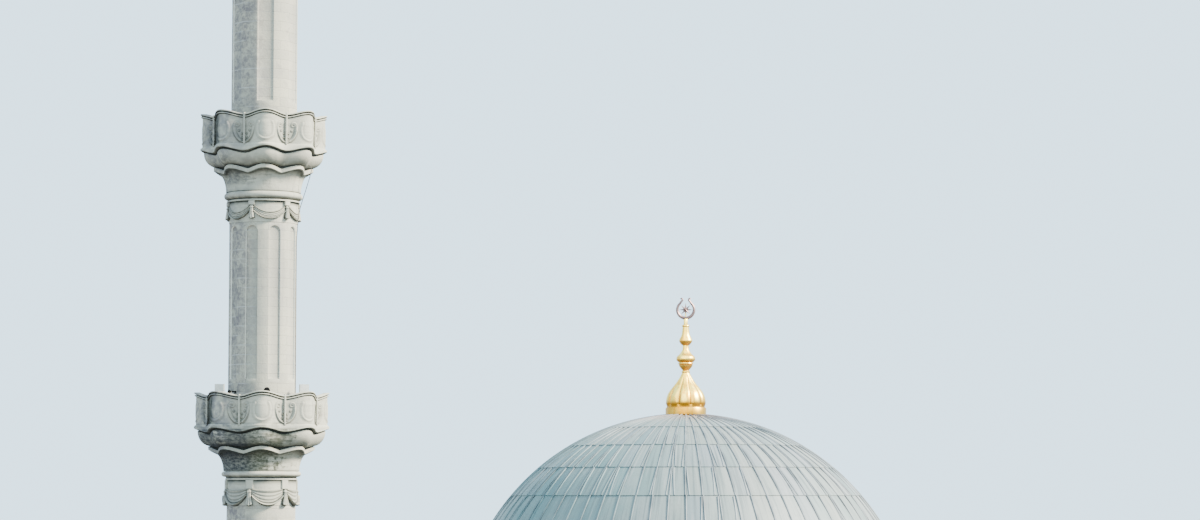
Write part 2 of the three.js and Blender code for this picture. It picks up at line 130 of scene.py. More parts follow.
def turned_piece(name, rows, finish, hides=(), sharp=35, marks=None):
    """Rows that close on themselves, as a tube does, or run from pole to pole if they end in points."""
    n, columns = rows.shape[:2]
    spread = [np.ptp(rows[k, :, :2], axis=0).max() for k in (0, -1)]
    if max(spread) > 1e-6:
        return new_piece(name, rows, ring_faces(n, columns), finish, hides, sharp, marks)
    points = np.concatenate([rows[0, :1], rows[1:-1].reshape(-1, 3), rows[-1, :1]])
    faces = (np.array(ring_faces(n - 2, columns, False)) + 1).tolist()
    last = len(points) - 1
    for j in range(columns):
        k = (j + 1) % columns
        faces.append([0, 1 + k, 1 + j])
        faces.append([last, last - columns + j, last - columns + k])
    return new_piece(name, points, faces, finish, hides, sharp, marks)


def curve_of(start, end, kind, steps):
    """Points of a moulding: 'cove' leaves upright and ends level, 'ovolo' leaves level and ends upright."""
    t = np.linspace(0, math.pi / 2, steps)
    share = (1 - np.cos(t), np.sin(t)) if kind == "cove" else (np.sin(t), 1 - np.cos(t))
    return [(start[0] + (end[0] - start[0]) * a, start[1] + (end[1] - start[1]) * b) for a, b in zip(*share)]


def torus_of(r, low, high, swell, steps):
    t = np.linspace(-math.pi / 2, math.pi / 2, steps)
    return [(r + swell * math.cos(a), (low + high) / 2 + (high - low) / 2 * math.sin(a)) for a in t]


# %% [markdown]
# ## Node trees in a few words
# A finish is a sum of masks: this joint is darker, that side is older. Written node by node it can't be read,
# so one small class lets sockets stand in ordinary expressions, and one method makes every other node from
# its type, its settings and its sockets. The same class serves the Geometry Nodes further down.


# %% Sockets in expressions
class Wire:
    """An output socket that can stand in a sum."""

    def __init__(self, graph, socket):
        self.graph, self.socket = graph, socket

    def __add__(self, other):
        return self.graph.maths("ADD", self, other)

    def __sub__(self, other):
        return self.graph.maths("SUBTRACT", self, other)

    def __rsub__(self, other):
        return self.graph.maths("SUBTRACT", other, self)

    def __mul__(self, other):
        return self.graph.maths("MULTIPLY", self, other)

    def __truediv__(self, other):
        return self.graph.maths("DIVIDE", self, other)

    def __rtruediv__(self, other):
        return self.graph.maths("DIVIDE", other, self)

    __radd__, __rmul__ = __add__, __mul__


class Graph:
    """A node tree that is filled through one method."""

    def __init__(self, tree):
        self.tree = tree

    def node(self, kind, settings=None, sockets=None, output=0):
        made = self.tree.nodes.new(kind)
        for key, value in (settings or {}).items():
            setattr(made, key, value)
        for key, value in (sockets or {}).items():
            if isinstance(value, Wire):
                self.tree.links.new(value.socket, made.inputs[key])
            else:
                made.inputs[key].default_value = value
        return Wire(self, made.outputs[output]) if len(made.outputs) else made

    def maths(self, operation, *values):
        return self.node("ShaderNodeMath", {"operation": operation}, dict(enumerate(values)))

    def clamp(self, value):
        """Keeps a mask between 0 and 1."""
        return self.node("ShaderNodeClamp", {}, {0: value})

    def vector(self, x, y, z=0.0):
        return self.node("ShaderNodeCombineXYZ", {}, {0: x, 1: y, 2: z})

    def split(self, vector):
        parts = self.node("ShaderNodeSeparateXYZ", {}, {0: vector})
        return [Wire(self, output) for output in parts.socket.node.outputs]


print("node helpers ready")


# %% Finishes
class Finish(Graph):
    """A material whose patterns are laid out in real metres of the object's own space."""

    def __init__(self, name, slot, constants):
        self.material = bpy.data.materials.new(name)
        self.material.use_nodes = True
        super().__init__(self.material.node_tree)
        self.slot = slot
        self.shader = next(n for n in self.tree.nodes if n.type == "BSDF_PRINCIPLED")
        for socket, value in constants.items():
            self.shader.inputs[socket].default_value = value
        spot = self.node("ShaderNodeTexCoord", output=3)
        self.place = self.node("ShaderNodeVectorMath", {"operation": "SCALE"}, {0: spot, 3: 1 / K})
        self.x, self.y, self.z = self.split(self.place)

    def send(self, socket, value):
        self.tree.links.new(value.socket, self.shader.inputs[socket])

    def noise(self, scale, detail, rough=0.55, at=None, warp=0.0):
        settings = {"Vector": at or self.place, "Scale": scale, "Detail": detail, "Roughness": rough,
                    "Distortion": warp}
        return self.node("ShaderNodeTexNoise", {}, settings)

    def ease(self, value, low, high, top=1.0):
        """From 0 at low to top at high, with soft ends."""
        return self.node("ShaderNodeMapRange", {"interpolation_type": "SMOOTHSTEP"},
                         {0: value, 1: low, 2: high, 3: 0.0, 4: top})

    def blend(self, factor, a, b):
        a, b = (c if isinstance(c, Wire) else (*c, 1.0) for c in (a, b))
        return self.node("ShaderNodeMix", {"data_type": "RGBA"}, {0: factor, 6: a, 7: b}, output=2)

    def coat(self, factor, tint):
        """Lays one more colour over the finish so far."""
        self.colour = self.blend(factor, self.colour, tint)

    def stretched(self, across, up, seed, detail=5, rough=0.62):
        """Noise that is drawn out one way, as streaks and beds are."""
        return self.noise(1.0, detail, rough, at=self.vector(across, up, seed))

    def facing(self):
        """The three parts of the surface's own direction."""
        return self.split(self.node("ShaderNodeNewGeometry", output=1))

    def mark(self, name):
        return self.node("ShaderNodeAttribute", {"attribute_name": name}, output=2)

    def bump(self, height, distance):
        self.send("Normal", self.node("ShaderNodeBump", {}, {"Height": height, "Distance": distance * K}))

    def turn(self, centre):
        """Angle round an upright axis, from the front, in radians."""
        return self.maths("ARCTAN2", self.x - centre[0], centre[1] - self.y)

    def left_of(self, centre, radius):
        """From -1 at the right, as the camera sees it, to 1 at the left, away from the sun."""
        along = (self.x - centre[0]) * math.cos(TOWER_FACING) + (self.y - centre[1]) * math.sin(TOWER_FACING)
        return along * (-1 / radius)


# %% [markdown]
# ### Stone
# The walls are a pale limestone in courses about a foot high. Two things make it look like stone and not like
# painted card: no two blocks have the same tone, and the dirt follows the building. So each block takes its
# own grey from a brick pattern, and rain draws streaks down from the ledges. The side on the left, away from
# the sun, is painted greyer and mottled, partly as weathering and partly as painted shade. On the minaret the
# reveals of the sunk panels are painted pale, a painted highlight, and the sunk fields are painted darker
# towards the corner on their right, as painted shade with some dirt.


# %% Coursed stone, flat or round
def stone_finish(name, slot="ashlar", axis=None, radius=1.0, wedge=False, block=(0.82, 0.33), joint=0.45,
                 pale=0.0, panels=None, reach=-0.1):
    s = Finish(name, slot, {"Roughness": 0.88})
    if wedge:
        # Wedge stones of an arch: across is the way round the arch, up is the distance from its centre
        side = s.maths("MINIMUM", s.maths("ABSOLUTE", s.x), s.maths("ABSOLUTE", s.y))
        rise = s.z - SPRING
        across = s.maths("ARCTAN2", rise, side) * 6.4
        up = s.maths("SQRT", side * side + rise * rise)
    elif axis:
        across, up = s.turn(axis) * radius, s.z
    else:
        nx, _, nz = s.facing()
        side_on = s.maths("GREATER_THAN", s.maths("ABSOLUTE", nx), 0.6)
        flat = s.maths("GREATER_THAN", s.maths("ABSOLUTE", nz), 0.75)
        across = s.x + (s.y - s.x) * side_on
        up = s.z + (s.y - s.z) * flat
    plan = s.vector(across, up)
    bricks = {"Vector": plan, "Color1": (0, 0, 0, 1), "Color2": (1, 1, 1, 1), "Mortar": (0.4, 0.4, 0.4, 1),
              "Scale": 1.0, "Mortar Size": 0.007, "Mortar Smooth": 0.6, "Brick Width": block[0],
              "Row Height": block[1]}
    tone = s.node("ShaderNodeTexBrick", {}, bricks)
    seam = Wire(s, tone.socket.node.outputs[1])
    tone = s.node("ShaderNodeSeparateColor", {}, {0: tone})
    cloud, mottle, grain = s.noise(0.45, 4), s.noise(2.6, 6, 0.62, warp=0.4), s.noise(19, 4, 0.6)
    streak = s.stretched(across * 3.1, up * 0.22, 3.0, rough=0.6)
    s.colour = s.blend(s.ease(cloud, 0.35, 0.68), (0.425, 0.40, 0.305), (0.36, 0.345, 0.275))
    s.coat(s.ease(tone, 0.1, 1.0, 0.3), (0.25, 0.24, 0.22))
    s.coat(s.ease(streak, 0.52, 0.8, 0.45), (0.16, 0.155, 0.15))
    s.coat(s.ease(mottle, 0.56, 0.74, 0.4), (0.17, 0.16, 0.165))
    if axis:
        # The left side, away from the sun, is painted greyer in blotches: partly weathering, partly painted
        # shade
        side = s.ease(s.left_of(axis, radius), reach, 0.8)
        specks = s.noise(8.0, 6, 0.7, warp=0.6)
        blotch = 0.12 + s.ease(mottle, 0.38, 0.60, 0.34) + s.ease(specks, 0.45, 0.55, 0.46)
        s.coat(side * (blotch + s.ease(tone, 0.45, 0.9, 0.14)), (0.128, 0.110, 0.114))
    if pale:
        # On the weather side some level joints were pointed afresh, and lime has run over the stones
        level = s.maths("ABSOLUTE", s.maths("FRACT", up / block[1] + 0.5) - 0.5) * block[1]
        runs = s.stretched(across * 0.9, up * 3.4, 8.0, 4, 0.6)
        lime = (1 - s.ease(level, 0.006, 0.024)) * s.ease(runs, 0.44, 0.58, pale)
        s.coat(lime * s.clamp(side + 0.15), (0.42, 0.41, 0.38))
    s.coat(s.ease(grain, 0.45, 0.7, 0.16), (0.12, 0.115, 0.11))
    s.coat(seam * joint, (0.08, 0.075, 0.07))
    if panels:
        count, first, width = panels
        apart = 2 * math.pi / count
        share = s.maths("FRACT", (s.turn(axis) - math.radians(first)) / apart + 0.5) - 0.5
        beside = share * (apart * radius)
        dx, dy = s.x - axis[0], s.y - axis[1]
        out = s.maths("SQRT", dx * dx + dy * dy)
        nx, ny, _ = s.facing()
        # The reveals are painted pale on both sides: a painted highlight
        painted_reveal_light = 1 - s.ease((nx * dx + ny * dy) / out, 0.7, 0.96)
        sunk = s.ease(radius - out, 0.02, 0.035)
        # The sunk field is painted darker towards its right, darkest in the corner there, more so on the
        # tower's left: painted shade with some dirt
        corner = s.ease(beside, width / 2 - 0.035, width / 2 - 0.01) * sunk
        painted_field_shade = sunk * (0.12 + s.ease(beside, width * -0.5, width * 0.5, 0.12))
        s.coat(painted_field_shade + corner * (0.05 + side * 0.6), (0.10, 0.095, 0.095))
        s.coat(painted_reveal_light, (0.72, 0.70, 0.62))
    s.send("Base Color", s.colour)
    s.send("Roughness", 0.8 + mottle * 0.14)
    s.bump(grain * 0.35 + mottle * 0.5 + tone * 0.12 - seam * min(0.9, 0.2 + joint * 1.6), 0.02)
    return s


ASHLAR = stone_finish("coursed_stone")
WEDGES = stone_finish("arch_stone", "carved_stone", wedge=True, block=(0.62, 1.7), joint=0.7)
# Sunk panels: how many, the angle of the first in degrees, and how wide they are
NINE_PANELS, SIX_PANELS = (9, 8.9, 0.37), (6, 30.3, 0.49)
minaret_stone = dict(axis=MINARET, block=(0.66, 0.29), joint=0.04, pale=0.8)
SHAFT_STONE = stone_finish("minaret_stone", radius=1.0, **minaret_stone)
NINE_STONE = stone_finish("nine_panel_stone", radius=1.035, panels=NINE_PANELS, **minaret_stone)
SIX_STONE = stone_finish("six_panel_stone", radius=UPPER_SHAFT_R, panels=SIX_PANELS, reach=-0.5,
                         **minaret_stone)
DRUM_STONE = stone_finish("drum_stone", axis=(0, 0), radius=7.3)
print("coursed stone in", *[stone.material.name for stone in (ASHLAR, WEDGES, SHAFT_STONE, DRUM_STONE)])

# %% [markdown]
# ### Carved stone
# The balconies are cut from larger blocks, so there are no courses. Each carved mesh carries a mark, from 0
# on the high parts to 1 in the grooves, under the ledges and at the feet of the mouldings, and the finish
# darkens
# by it: painted shade, with the dirt that settles in the cuts. Faces turned down are painted darker as shade,
# and the left side, away from the sun, greyer, partly weathering and partly painted shade. Under the lower
# balcony rain has left near black patches, greenish in the middle, that follow the level beds of the stone.
# Such crusts don't shine, so the sheen is set low: with more of it the sky would turn them grey.


# %% Carved stone
def carved_finish(name, axis, radius, stains):
    s = Finish(name, "carved_stone", {"Roughness": 0.85, "Specular IOR Level": 0.14})
    turn = s.turn(axis)
    cloud, mottle, grain = s.noise(0.8, 4), s.noise(3.4, 7, 0.64, warp=0.5), s.noise(24, 4, 0.62)
    streak = s.stretched(turn * 5.2, s.z * 0.55, 7.0)
    s.colour = s.blend(s.ease(cloud, 0.35, 0.66), (0.44, 0.42, 0.33), (0.38, 0.37, 0.30))
    s.coat(s.ease(streak, 0.5, 0.76, 0.5), (0.16, 0.155, 0.145))
    s.coat(s.ease(s.noise(1.7, 3, warp=0.2), 0.6, 0.76, 0.22), (0.36, 0.24, 0.19))
    left = s.left_of(axis, radius)
    # The left side, away from the sun, is painted darker in mottles: partly weathering, partly painted shade
    weather_and_shade = s.ease(left, -0.1, 0.85) * (0.28 + s.ease(mottle, 0.38, 0.62, 0.62))
    s.coat(weather_and_shade, (0.158, 0.150, 0.158))
    # Faces turned downwards are painted darker: painted shade on the undersides
    under = s.ease(0 - s.facing()[2], 0.1, 0.9)
    s.coat(under * (0.35 + s.ease(mottle, 0.3, 0.6, 0.35)), (0.07, 0.07, 0.055))
    # The mark is painted shade and dirt in grooves, under ledges and at the feet of mouldings; below 0 it
    # marks washed faces
    cut = s.mark("hollow_dirt_and_shade")
    washed = s.clamp(0 - cut)
    bedding = s.stretched(turn * 2.4, s.z * 11.0, 4.0, rough=0.66)
    s.coat(s.ease(bedding, 0.5, 0.7, 0.3), (0.13, 0.125, 0.115))
    blots, drips = s.noise(4.6, 8, 0.74, warp=0.5), s.stretched(turn * 11.0, s.z * 1.6, 2.0, 6, 0.7)
    patches = s.stretched(turn * 9.0, s.z * 14.0, 6.0, 6, 0.7)
    fold = s.maths("COSINE", (turn - LOBE_TURN) * 8.0)
    for low, high, fade, from_left, amount, gather in stains:
        band = s.ease(s.z, low, low + fade) * (1 - s.ease(s.z, high - fade, high))
        reach = (s.ease(left, from_left, from_left + 1.1) * (1 + fold * gather)
                 + (blots - 0.5) * 1.8 + (drips - 0.5) * 0.9 + (bedding - 0.5) * 1.7)
        tint = s.blend(s.ease(left, 0.0, 0.35), (0.042, 0.046, 0.028), (0.016, 0.019, 0.024))
        cover = s.ease(reach, 0.3, 0.72) * (amount - 0.3 + s.ease(patches, 0.42, 0.58, 0.3))
        s.coat(band * cover * (1 - washed * 0.85), tint)
    # Near black where the mark is high: painted shade with dirt
    s.coat(s.clamp(cut) * (0.7 + mottle * 0.5), (0.022, 0.024, 0.02))
    s.coat(s.ease(grain, 0.5, 0.72, 0.14), (0.11, 0.105, 0.10))
    s.send("Base Color", s.colour)
    s.send("Roughness", 0.78 + mottle * 0.16)
    s.bump(grain * 0.4 + mottle * 0.6, 0.016)
    return s


# Each stain: its foot and head, how soft they are, where it starts, its strength, and its pull to the folds
RAIN_STAINS = [(23.16, 24.0, 0.05, -0.8, 0.95, 0.0), (23.5, 24.0, 0.2, -0.4, 0.8, 0.0),
               (23.85, 24.47, 0.08, -0.9, 0.85, 0.4), (24.44, 24.62, 0.03, -0.9, 0.4, 0.0),
               (31.75, 32.5, 0.2, -0.4, 0.55, 0.0)]
BALCONY_STONE = carved_finish("balcony_stone", MINARET, 1.9, RAIN_STAINS)
CARVED = carved_finish("moulded_stone", (0, 0), 8.0, [])
print("carved stone in", BALCONY_STONE.material.name, CARVED.material.name)

# %% [markdown]
# ### Lead, gilding, iron and glass
# Old lead isn't a shiny metal: it is a dull skin of carbonate, warm grey on the sunny side, and every sheet
# has aged in its own way. So each sheet's face carries its own number, the mark called sheet, and the skin is
# only a little metallic. On the left, away from the sun, it is painted blue green, partly as weathering and
# partly as painted shade. Rain draws pale and dark threads down the slope, and along the foot of each roll a
# dark line is painted, partly dirt and partly the roll's painted shadow. Gilding is the opposite: all metal.
# Its hollows turn brown where the leaf has gone, and its undersides are painted brown as painted shade.


# %% Lead
def lead_finish(name, axis, radius, crown=None, seams=0):
    s = Finish(name, "lead", {"Metallic": 0.12, "Roughness": 0.5})
    turn = s.turn(axis)
    sheet = s.mark("sheet")
    other = s.maths("FRACT", sheet * 7.3)
    cloud, fine = s.noise(0.5, 4, 0.6), s.noise(9, 5, 0.6)
    run = s.stretched(turn * (radius * 2.1), s.z * 0.35, 5.0)
    thread = s.stretched(turn * (radius * 8.0), s.z * 0.5, 9.0, 3, 0.6)
    left = s.left_of(axis, radius)
    s.colour = s.blend(s.ease(sheet, 0.1, 0.9), (0.228, 0.252, 0.238), (0.180, 0.216, 0.210))
    s.coat(s.ease(other, 0.6, 1.0, 0.7), (0.215, 0.232, 0.210))
    s.coat(1 - s.ease(other, 0.0, 0.3), s.blend(0.5, s.colour, (0.178, 0.195, 0.225)))
    # The left side, away from the sun, is painted blue green: partly weathering, partly painted shade
    cool_weather_and_shade = s.ease(left, -0.25, 1.0) * (0.35 + s.ease(cloud, 0.3, 0.62, 0.75))
    s.coat(s.clamp(cool_weather_and_shade + s.ease(sheet, 0.82, 1.0, 0.3)) * 0.8, (0.052, 0.152, 0.158))
    s.coat(s.ease(run, 0.48, 0.8, 0.55), (0.085, 0.12, 0.122))
    s.coat((1 - s.ease(run, 0.2, 0.38)) * 0.5, (0.27, 0.28, 0.272))
    s.coat(s.ease(thread, 0.48, 0.66, 0.6), (0.080, 0.108, 0.112))
    s.coat((1 - s.ease(thread, 0.28, 0.42)) * 0.6, (0.28, 0.29, 0.285))
    s.coat(s.ease(fine, 0.5, 0.75, 0.14), (0.08, 0.09, 0.095))
    if seams:
        # Along the foot of each roll a dark line is painted, more in some places than in others: partly dirt,
        # partly the roll's painted shadow
        out = s.maths("SQRT", s.x * s.x + s.y * s.y)
        share = s.maths("FRACT", turn * (seams / (2 * math.pi)) + 0.5) - 0.5
        beside = s.maths("ABSOLUTE", share) * (2 * math.pi / seams) * out
        dirt_and_shade = 0.12 + s.ease(s.noise(1.6, 4), 0.42, 0.66, 0.5)
        foot = (1 - s.ease(beside, 0.03, 0.075)) * s.ease(out, 1.2, 3.2) * dirt_and_shade
        s.coat(foot, (0.045, 0.06, 0.07))
    if crown:
        s.coat(s.ease(s.z, crown - 0.3, crown, 0.5), (0.17, 0.12, 0.115))
    s.coat(s.clamp(s.mark("hollow_dirt_and_shade")), (0.03, 0.04, 0.045))
    s.send("Base Color", s.colour)
    s.send("Roughness", 0.44 + cloud * 0.2 + fine * 0.06)
    s.bump(fine * 0.3 + run * 0.5 + thread * 0.15, 0.014)
    return s


DOME_LEAD = lead_finish("dome_lead", (0, 0), DOME_OUT, crown=DOME_Z + 7.08, seams=SHEETS)
CONE_LEAD = lead_finish("cone_lead", MINARET, 1.2)
ROOF_LEAD = lead_finish("roof_lead", (0, 0), 14.0)


# %% Gilding, iron and glass
def gilt_finish():
    s = Finish("gilded_copper", "gilding", {"Metallic": 1.0, "Roughness": 0.3})
    under = s.ease(0 - s.facing()[2], -0.1, 0.6)
    wear, fine = s.noise(2.2, 5, 0.6), s.noise(14, 4, 0.6)
    s.colour = s.blend(s.ease(wear, 0.35, 0.68), (0.97, 0.76, 0.19), (0.88, 0.58, 0.08))
    rain = s.noise(1.0, 3, at=s.vector(s.x * 9.0, s.y * 9.0, s.z * 0.8))
    s.coat(s.ease(rain, 0.48, 0.64, 0.8), (0.74, 0.38, 0.035))
    # Faces turned downwards are painted a deeper brown: painted shade
    s.coat(under * (0.6 + wear * 0.5), (0.50, 0.23, 0.03))
    s.coat(s.clamp(s.mark("hollow_dirt_and_shade") * (0.6 + wear)) * 0.95, (0.42, 0.19, 0.008))
    s.coat(s.ease(fine, 0.56, 0.72, 0.25), (0.35, 0.2, 0.09))
    s.send("Base Color", s.colour)
    s.send("Roughness", 0.26 + wear * 0.16 + fine * 0.08)
    s.bump(wear * 0.6 + fine * 0.2, 0.008)
    return s


def plain_metal(name, slot, dark, light, metal, rough, sheen=0.5):
    s = Finish(name, slot, {"Metallic": metal, "Roughness": rough, "Specular IOR Level": sheen})
    worn = s.noise(6, 5, 0.6)
    s.send("Base Color", s.blend(s.ease(worn, 0.35, 0.7), dark, light))
    s.send("Roughness", rough - 0.1 + worn * 0.25)
    s.bump(worn, 0.004)
    return s


def glass_finish():
    s = Finish("old_glass", "ashlar", {"Roughness": 0.12, "IOR": 1.5})
    dust = s.noise(3.5, 4, 0.6)
    s.send("Base Color", s.blend(s.ease(dust, 0.4, 0.75), (0.025, 0.035, 0.045), (0.09, 0.10, 0.10)))
    s.send("Roughness", 0.08 + dust * 0.2)
    s.bump(dust, 0.006)
    return s


GILT = gilt_finish()
OLD_GILT = plain_metal("worn_gilding", "gilding", (0.22, 0.135, 0.125), (0.34, 0.23, 0.20), 0.9, 0.42)
IRON = plain_metal("window_iron", "lead", (0.045, 0.05, 0.055), (0.12, 0.105, 0.095), 0.5, 0.6)
BLACK_PAINT = plain_metal("black_paint", "lead", (0.006, 0.006, 0.006), (0.012, 0.011, 0.010), 0.0, 0.6, 0.05)
WHITE_METAL = plain_metal("pale_painted_metal", "lead", (0.46, 0.47, 0.43), (0.55, 0.55, 0.51), 0.1, 0.5)
GLASS = glass_finish()
print("lead, gilding, iron and glass ready")

# %% [markdown]
# ## Geometry Nodes for what repeats
# Lead rolls, ribs, swags, window surrounds and bars all repeat round an axis. Copies in a Python loop would
# work, but a node tree says the rule itself: how many, how far apart, how much each may stray. Three trees do
# it all: copies of a piece round an axis, rolls along the meridians of a dome, and a lattice of bars.


# %% Tree helpers
def new_tree(name, inputs):
    tree = bpy.data.node_groups.new(name, "GeometryNodeTree")
    for label, kind in inputs.items():
        tree.interface.new_socket(label, in_out="INPUT", socket_type=f"NodeSocket{kind}")
    tree.interface.new_socket("Geometry", in_out="OUTPUT", socket_type="NodeSocketGeometry")
    graph = Graph(tree)
    source = graph.node("NodeGroupInput").socket.node
    return graph, {label: Wire(graph, source.outputs[label]) for label in inputs}


def end_tree(graph, shape, material):
    whole = graph.node("GeometryNodeRealizeInstances", {}, {0: shape})
    done = graph.node("GeometryNodeSetMaterial", {}, {"Geometry": whole, "Material": material})
    graph.node("NodeGroupOutput", {}, {"Geometry": done})
    return graph.tree


def applied(thing, modifier, **keep):
    """Runs a modifier and keeps the result as a plain mesh."""
    graph = bpy.context.evaluated_depsgraph_get()
    mesh = bpy.data.meshes.new_from_object(thing.evaluated_get(graph), depsgraph=graph, **keep)
    thing.modifiers.remove(modifier)
    thing.data = mesh
    return thing


def grown(name, tree, values, finish, hides=(), sharp=35):
    """Runs a tree on an empty mesh and keeps the result as a plain one."""
    thing = bpy.data.objects.new(name, bpy.data.meshes.new(name))
    bpy.context.scene.collection.objects.link(thing)
    growth = thing.modifiers.new("growth", "NODES")
    growth.node_group = tree
    values = {**values, "Material": finish.material if finish else None}
    for item in tree.interface.items_tree:
        if item.in_out == "INPUT" and values.get(item.name) is not None:
            growth[item.identifier] = values[item.name]
    return settle(applied(thing, growth, preserve_all_data_layers=True), finish, hides, sharp)


def drop(*things):
    for thing in things:
        bpy.data.objects.remove(thing, do_unlink=True)


# %% Copies round an axis
def copies_tree():
    g, at = new_tree("copies round an axis", {
        "Piece": "Object", "Count": "Int", "First": "Float", "Step": "Float", "Axis": "Vector",
        "Stray": "Float", "Seed": "Int", "Material": "Material"})
    points = g.node("GeometryNodePoints", {}, {"Count": at["Count"], "Position": at["Axis"]})
    stray = g.node("FunctionNodeRandomValue", {"data_type": "FLOAT"},
                   {2: 0 - at["Stray"], 3: at["Stray"], 8: at["Seed"]}, output=1)
    turn = at["First"] + g.node("GeometryNodeInputIndex") * at["Step"] + stray
    piece = g.node("GeometryNodeObjectInfo", {"transform_space": "ORIGINAL"}, {"Object": at["Piece"]},
                   output=4)
    sockets = {"Points": points, "Instance": piece, "Rotation": g.vector(0.0, 0.0, turn)}
    return end_tree(g, g.node("GeometryNodeInstanceOnPoints", {}, sockets), at["Material"])


COPIES = copies_tree()


def copies(name, thing, count, finish, hides=(), first=0.0, step=None, axis=(0, 0, 0), stray=0.0, seed=1,
           sharp=35):
    """Copies of a piece that was made round the world's axis; angles in degrees."""
    step = 360 / count if step is None else step
    values = {"Piece": thing, "Count": count, "First": math.radians(first), "Step": math.radians(step),
              "Axis": [v * K for v in axis], "Stray": math.radians(stray), "Seed": seed}
    made = grown(name, COPIES, values, finish, hides, sharp)
    drop(thing)
    return made


# %% Rolls along the meridians of a dome
def rolls_tree():
    g, at = new_tree("rolls on a dome", {
        "Count": "Int", "First": "Float", "Step": "Float", "Low": "Float", "High": "Float", "Dome": "Float",
        "Roll": "Float", "Centre": "Vector", "Stray": "Float", "Lean": "Float", "Keep": "Float",
        "Seed": "Int", "Material": "Material"})
    arc = g.node("GeometryNodeCurveArc", {"mode": "RADIUS"}, {
        "Resolution": 7, "Radius": at["Dome"], "Start Angle": at["Low"],
        "Sweep Angle": at["High"] - at["Low"]})
    edge = g.node("GeometryNodeCurvePrimitiveCircle", {"mode": "RADIUS"},
                  {"Resolution": 7, "Radius": at["Roll"]})
    roll = g.node("GeometryNodeCurveToMesh", {}, {"Curve": arc, "Profile Curve": edge, "Fill Caps": True})
    roll = g.node("GeometryNodeTransform", {}, {"Geometry": roll, "Rotation": (math.pi / 2, 0, 0)})
    # A roll that leans drifts sideways on its way down, so each height turns by its own share
    place = g.node("GeometryNodeInputPosition")
    height = g.split(place)[2]
    top, foot = g.maths("SINE", at["High"]), g.maths("SINE", at["Low"])
    share = (top - height / at["Dome"]) / (top - foot)
    drift = g.node("ShaderNodeVectorRotate", {"rotation_type": "Z_AXIS"},
                   {"Vector": place, "Angle": at["Lean"] * share})
    roll = g.node("GeometryNodeSetPosition", {}, {"Geometry": roll, "Position": drift})
    roll = g.node("GeometryNodeTransform", {}, {"Geometry": roll, "Translation": at["Centre"]})
    points = g.node("GeometryNodePoints", {}, {"Count": at["Count"]})
    stray = g.node("FunctionNodeRandomValue", {"data_type": "FLOAT"},
                   {2: 0 - at["Stray"], 3: at["Stray"], 8: at["Seed"]}, output=1)
    keep = g.node("FunctionNodeRandomValue", {"data_type": "BOOLEAN"},
                  {6: at["Keep"], 8: at["Seed"] + 5}, output=3)
    turn = at["First"] + g.node("GeometryNodeInputIndex") * at["Step"] + stray - math.pi / 2
    sockets = {"Points": points, "Selection": keep, "Instance": roll, "Rotation": g.vector(0.0, 0.0, turn)}
    return end_tree(g, g.node("GeometryNodeInstanceOnPoints", {}, sockets), at["Material"])


ROLLS = rolls_tree()


# %% Lattice of bars
def lattice_tree():
    """Bars along the edges of a grid, kept where they lie under a round head."""
    g, at = new_tree("lattice of bars", {
        "Width": "Float", "Sill": "Float", "Spring": "Float", "Top": "Float", "Columns": "Int", "Rows": "Int",
        "Bar": "Float", "Depth": "Float", "Middle": "Float", "Material": "Material"})
    height = at["Top"] - at["Sill"]
    grid = g.node("GeometryNodeMeshGrid", {}, {"Size X": at["Width"], "Size Y": height,
                                               "Vertices X": at["Columns"], "Vertices Y": at["Rows"]})
    grid = g.node("GeometryNodeTransform", {}, {
        "Geometry": grid, "Rotation": (math.pi / 2, 0, 0),
        "Translation": g.vector(0.0, at["Depth"], at["Sill"] + height * 0.5)})
    x, _, z = g.split(g.node("GeometryNodeInputPosition"))
    over = g.maths("MAXIMUM", z - at["Spring"], 0.0)
    reach = g.maths("SQRT", x * x + over * over)
    beyond = g.maths("GREATER_THAN", reach, at["Width"] * 0.5 + 0.0005)
    grid = g.node("GeometryNodeDeleteGeometry", {"domain": "POINT"}, {"Geometry": grid, "Selection": beyond})
    lines = g.node("GeometryNodeMeshToCurve", {}, {"Mesh": grid})
    edge = g.node("GeometryNodeCurvePrimitiveCircle", {"mode": "RADIUS"},
                  {"Resolution": 4, "Radius": at["Bar"]})
    bars = g.node("GeometryNodeCurveToMesh", {}, {"Curve": lines, "Profile Curve": edge, "Fill Caps": True})
    bars = g.node("GeometryNodeTransform", {},
                  {"Geometry": bars, "Translation": g.vector(at["Middle"], 0.0, 0.0)})
    return end_tree(g, bars, at["Material"])


LATTICE = lattice_tree()
print("trees:", [tree.name for tree in bpy.data.node_groups if tree.type == "GEOMETRY"])

# %% [markdown]
# ## The dome
# The roofers laid the lead from the bottom up in tiers, each tier lapping over the one below, so every tier
# stands out a little at its lower edge and leaves a thin shadow line. The sheets are about two feet wide and
# their edges are rolled together over a wooden core. A bump map would lose both on the outline, so the tiers
# are rows of a turned solid with real steps, and the sheets sag and swell a little between the rolls. Here
# and there a second roll leans away from the first, as the photo shows, so each tier has three sets of rolls.

# %% Dome sheets
COLUMNS_PER_SHEET, LAP = 4, 0.02
LAPS = [84.6, 69.7, 59.2, 49.7, 40.0, 30.3, 20.8, 11.5, 2.7]
rng = np.random.default_rng(12)


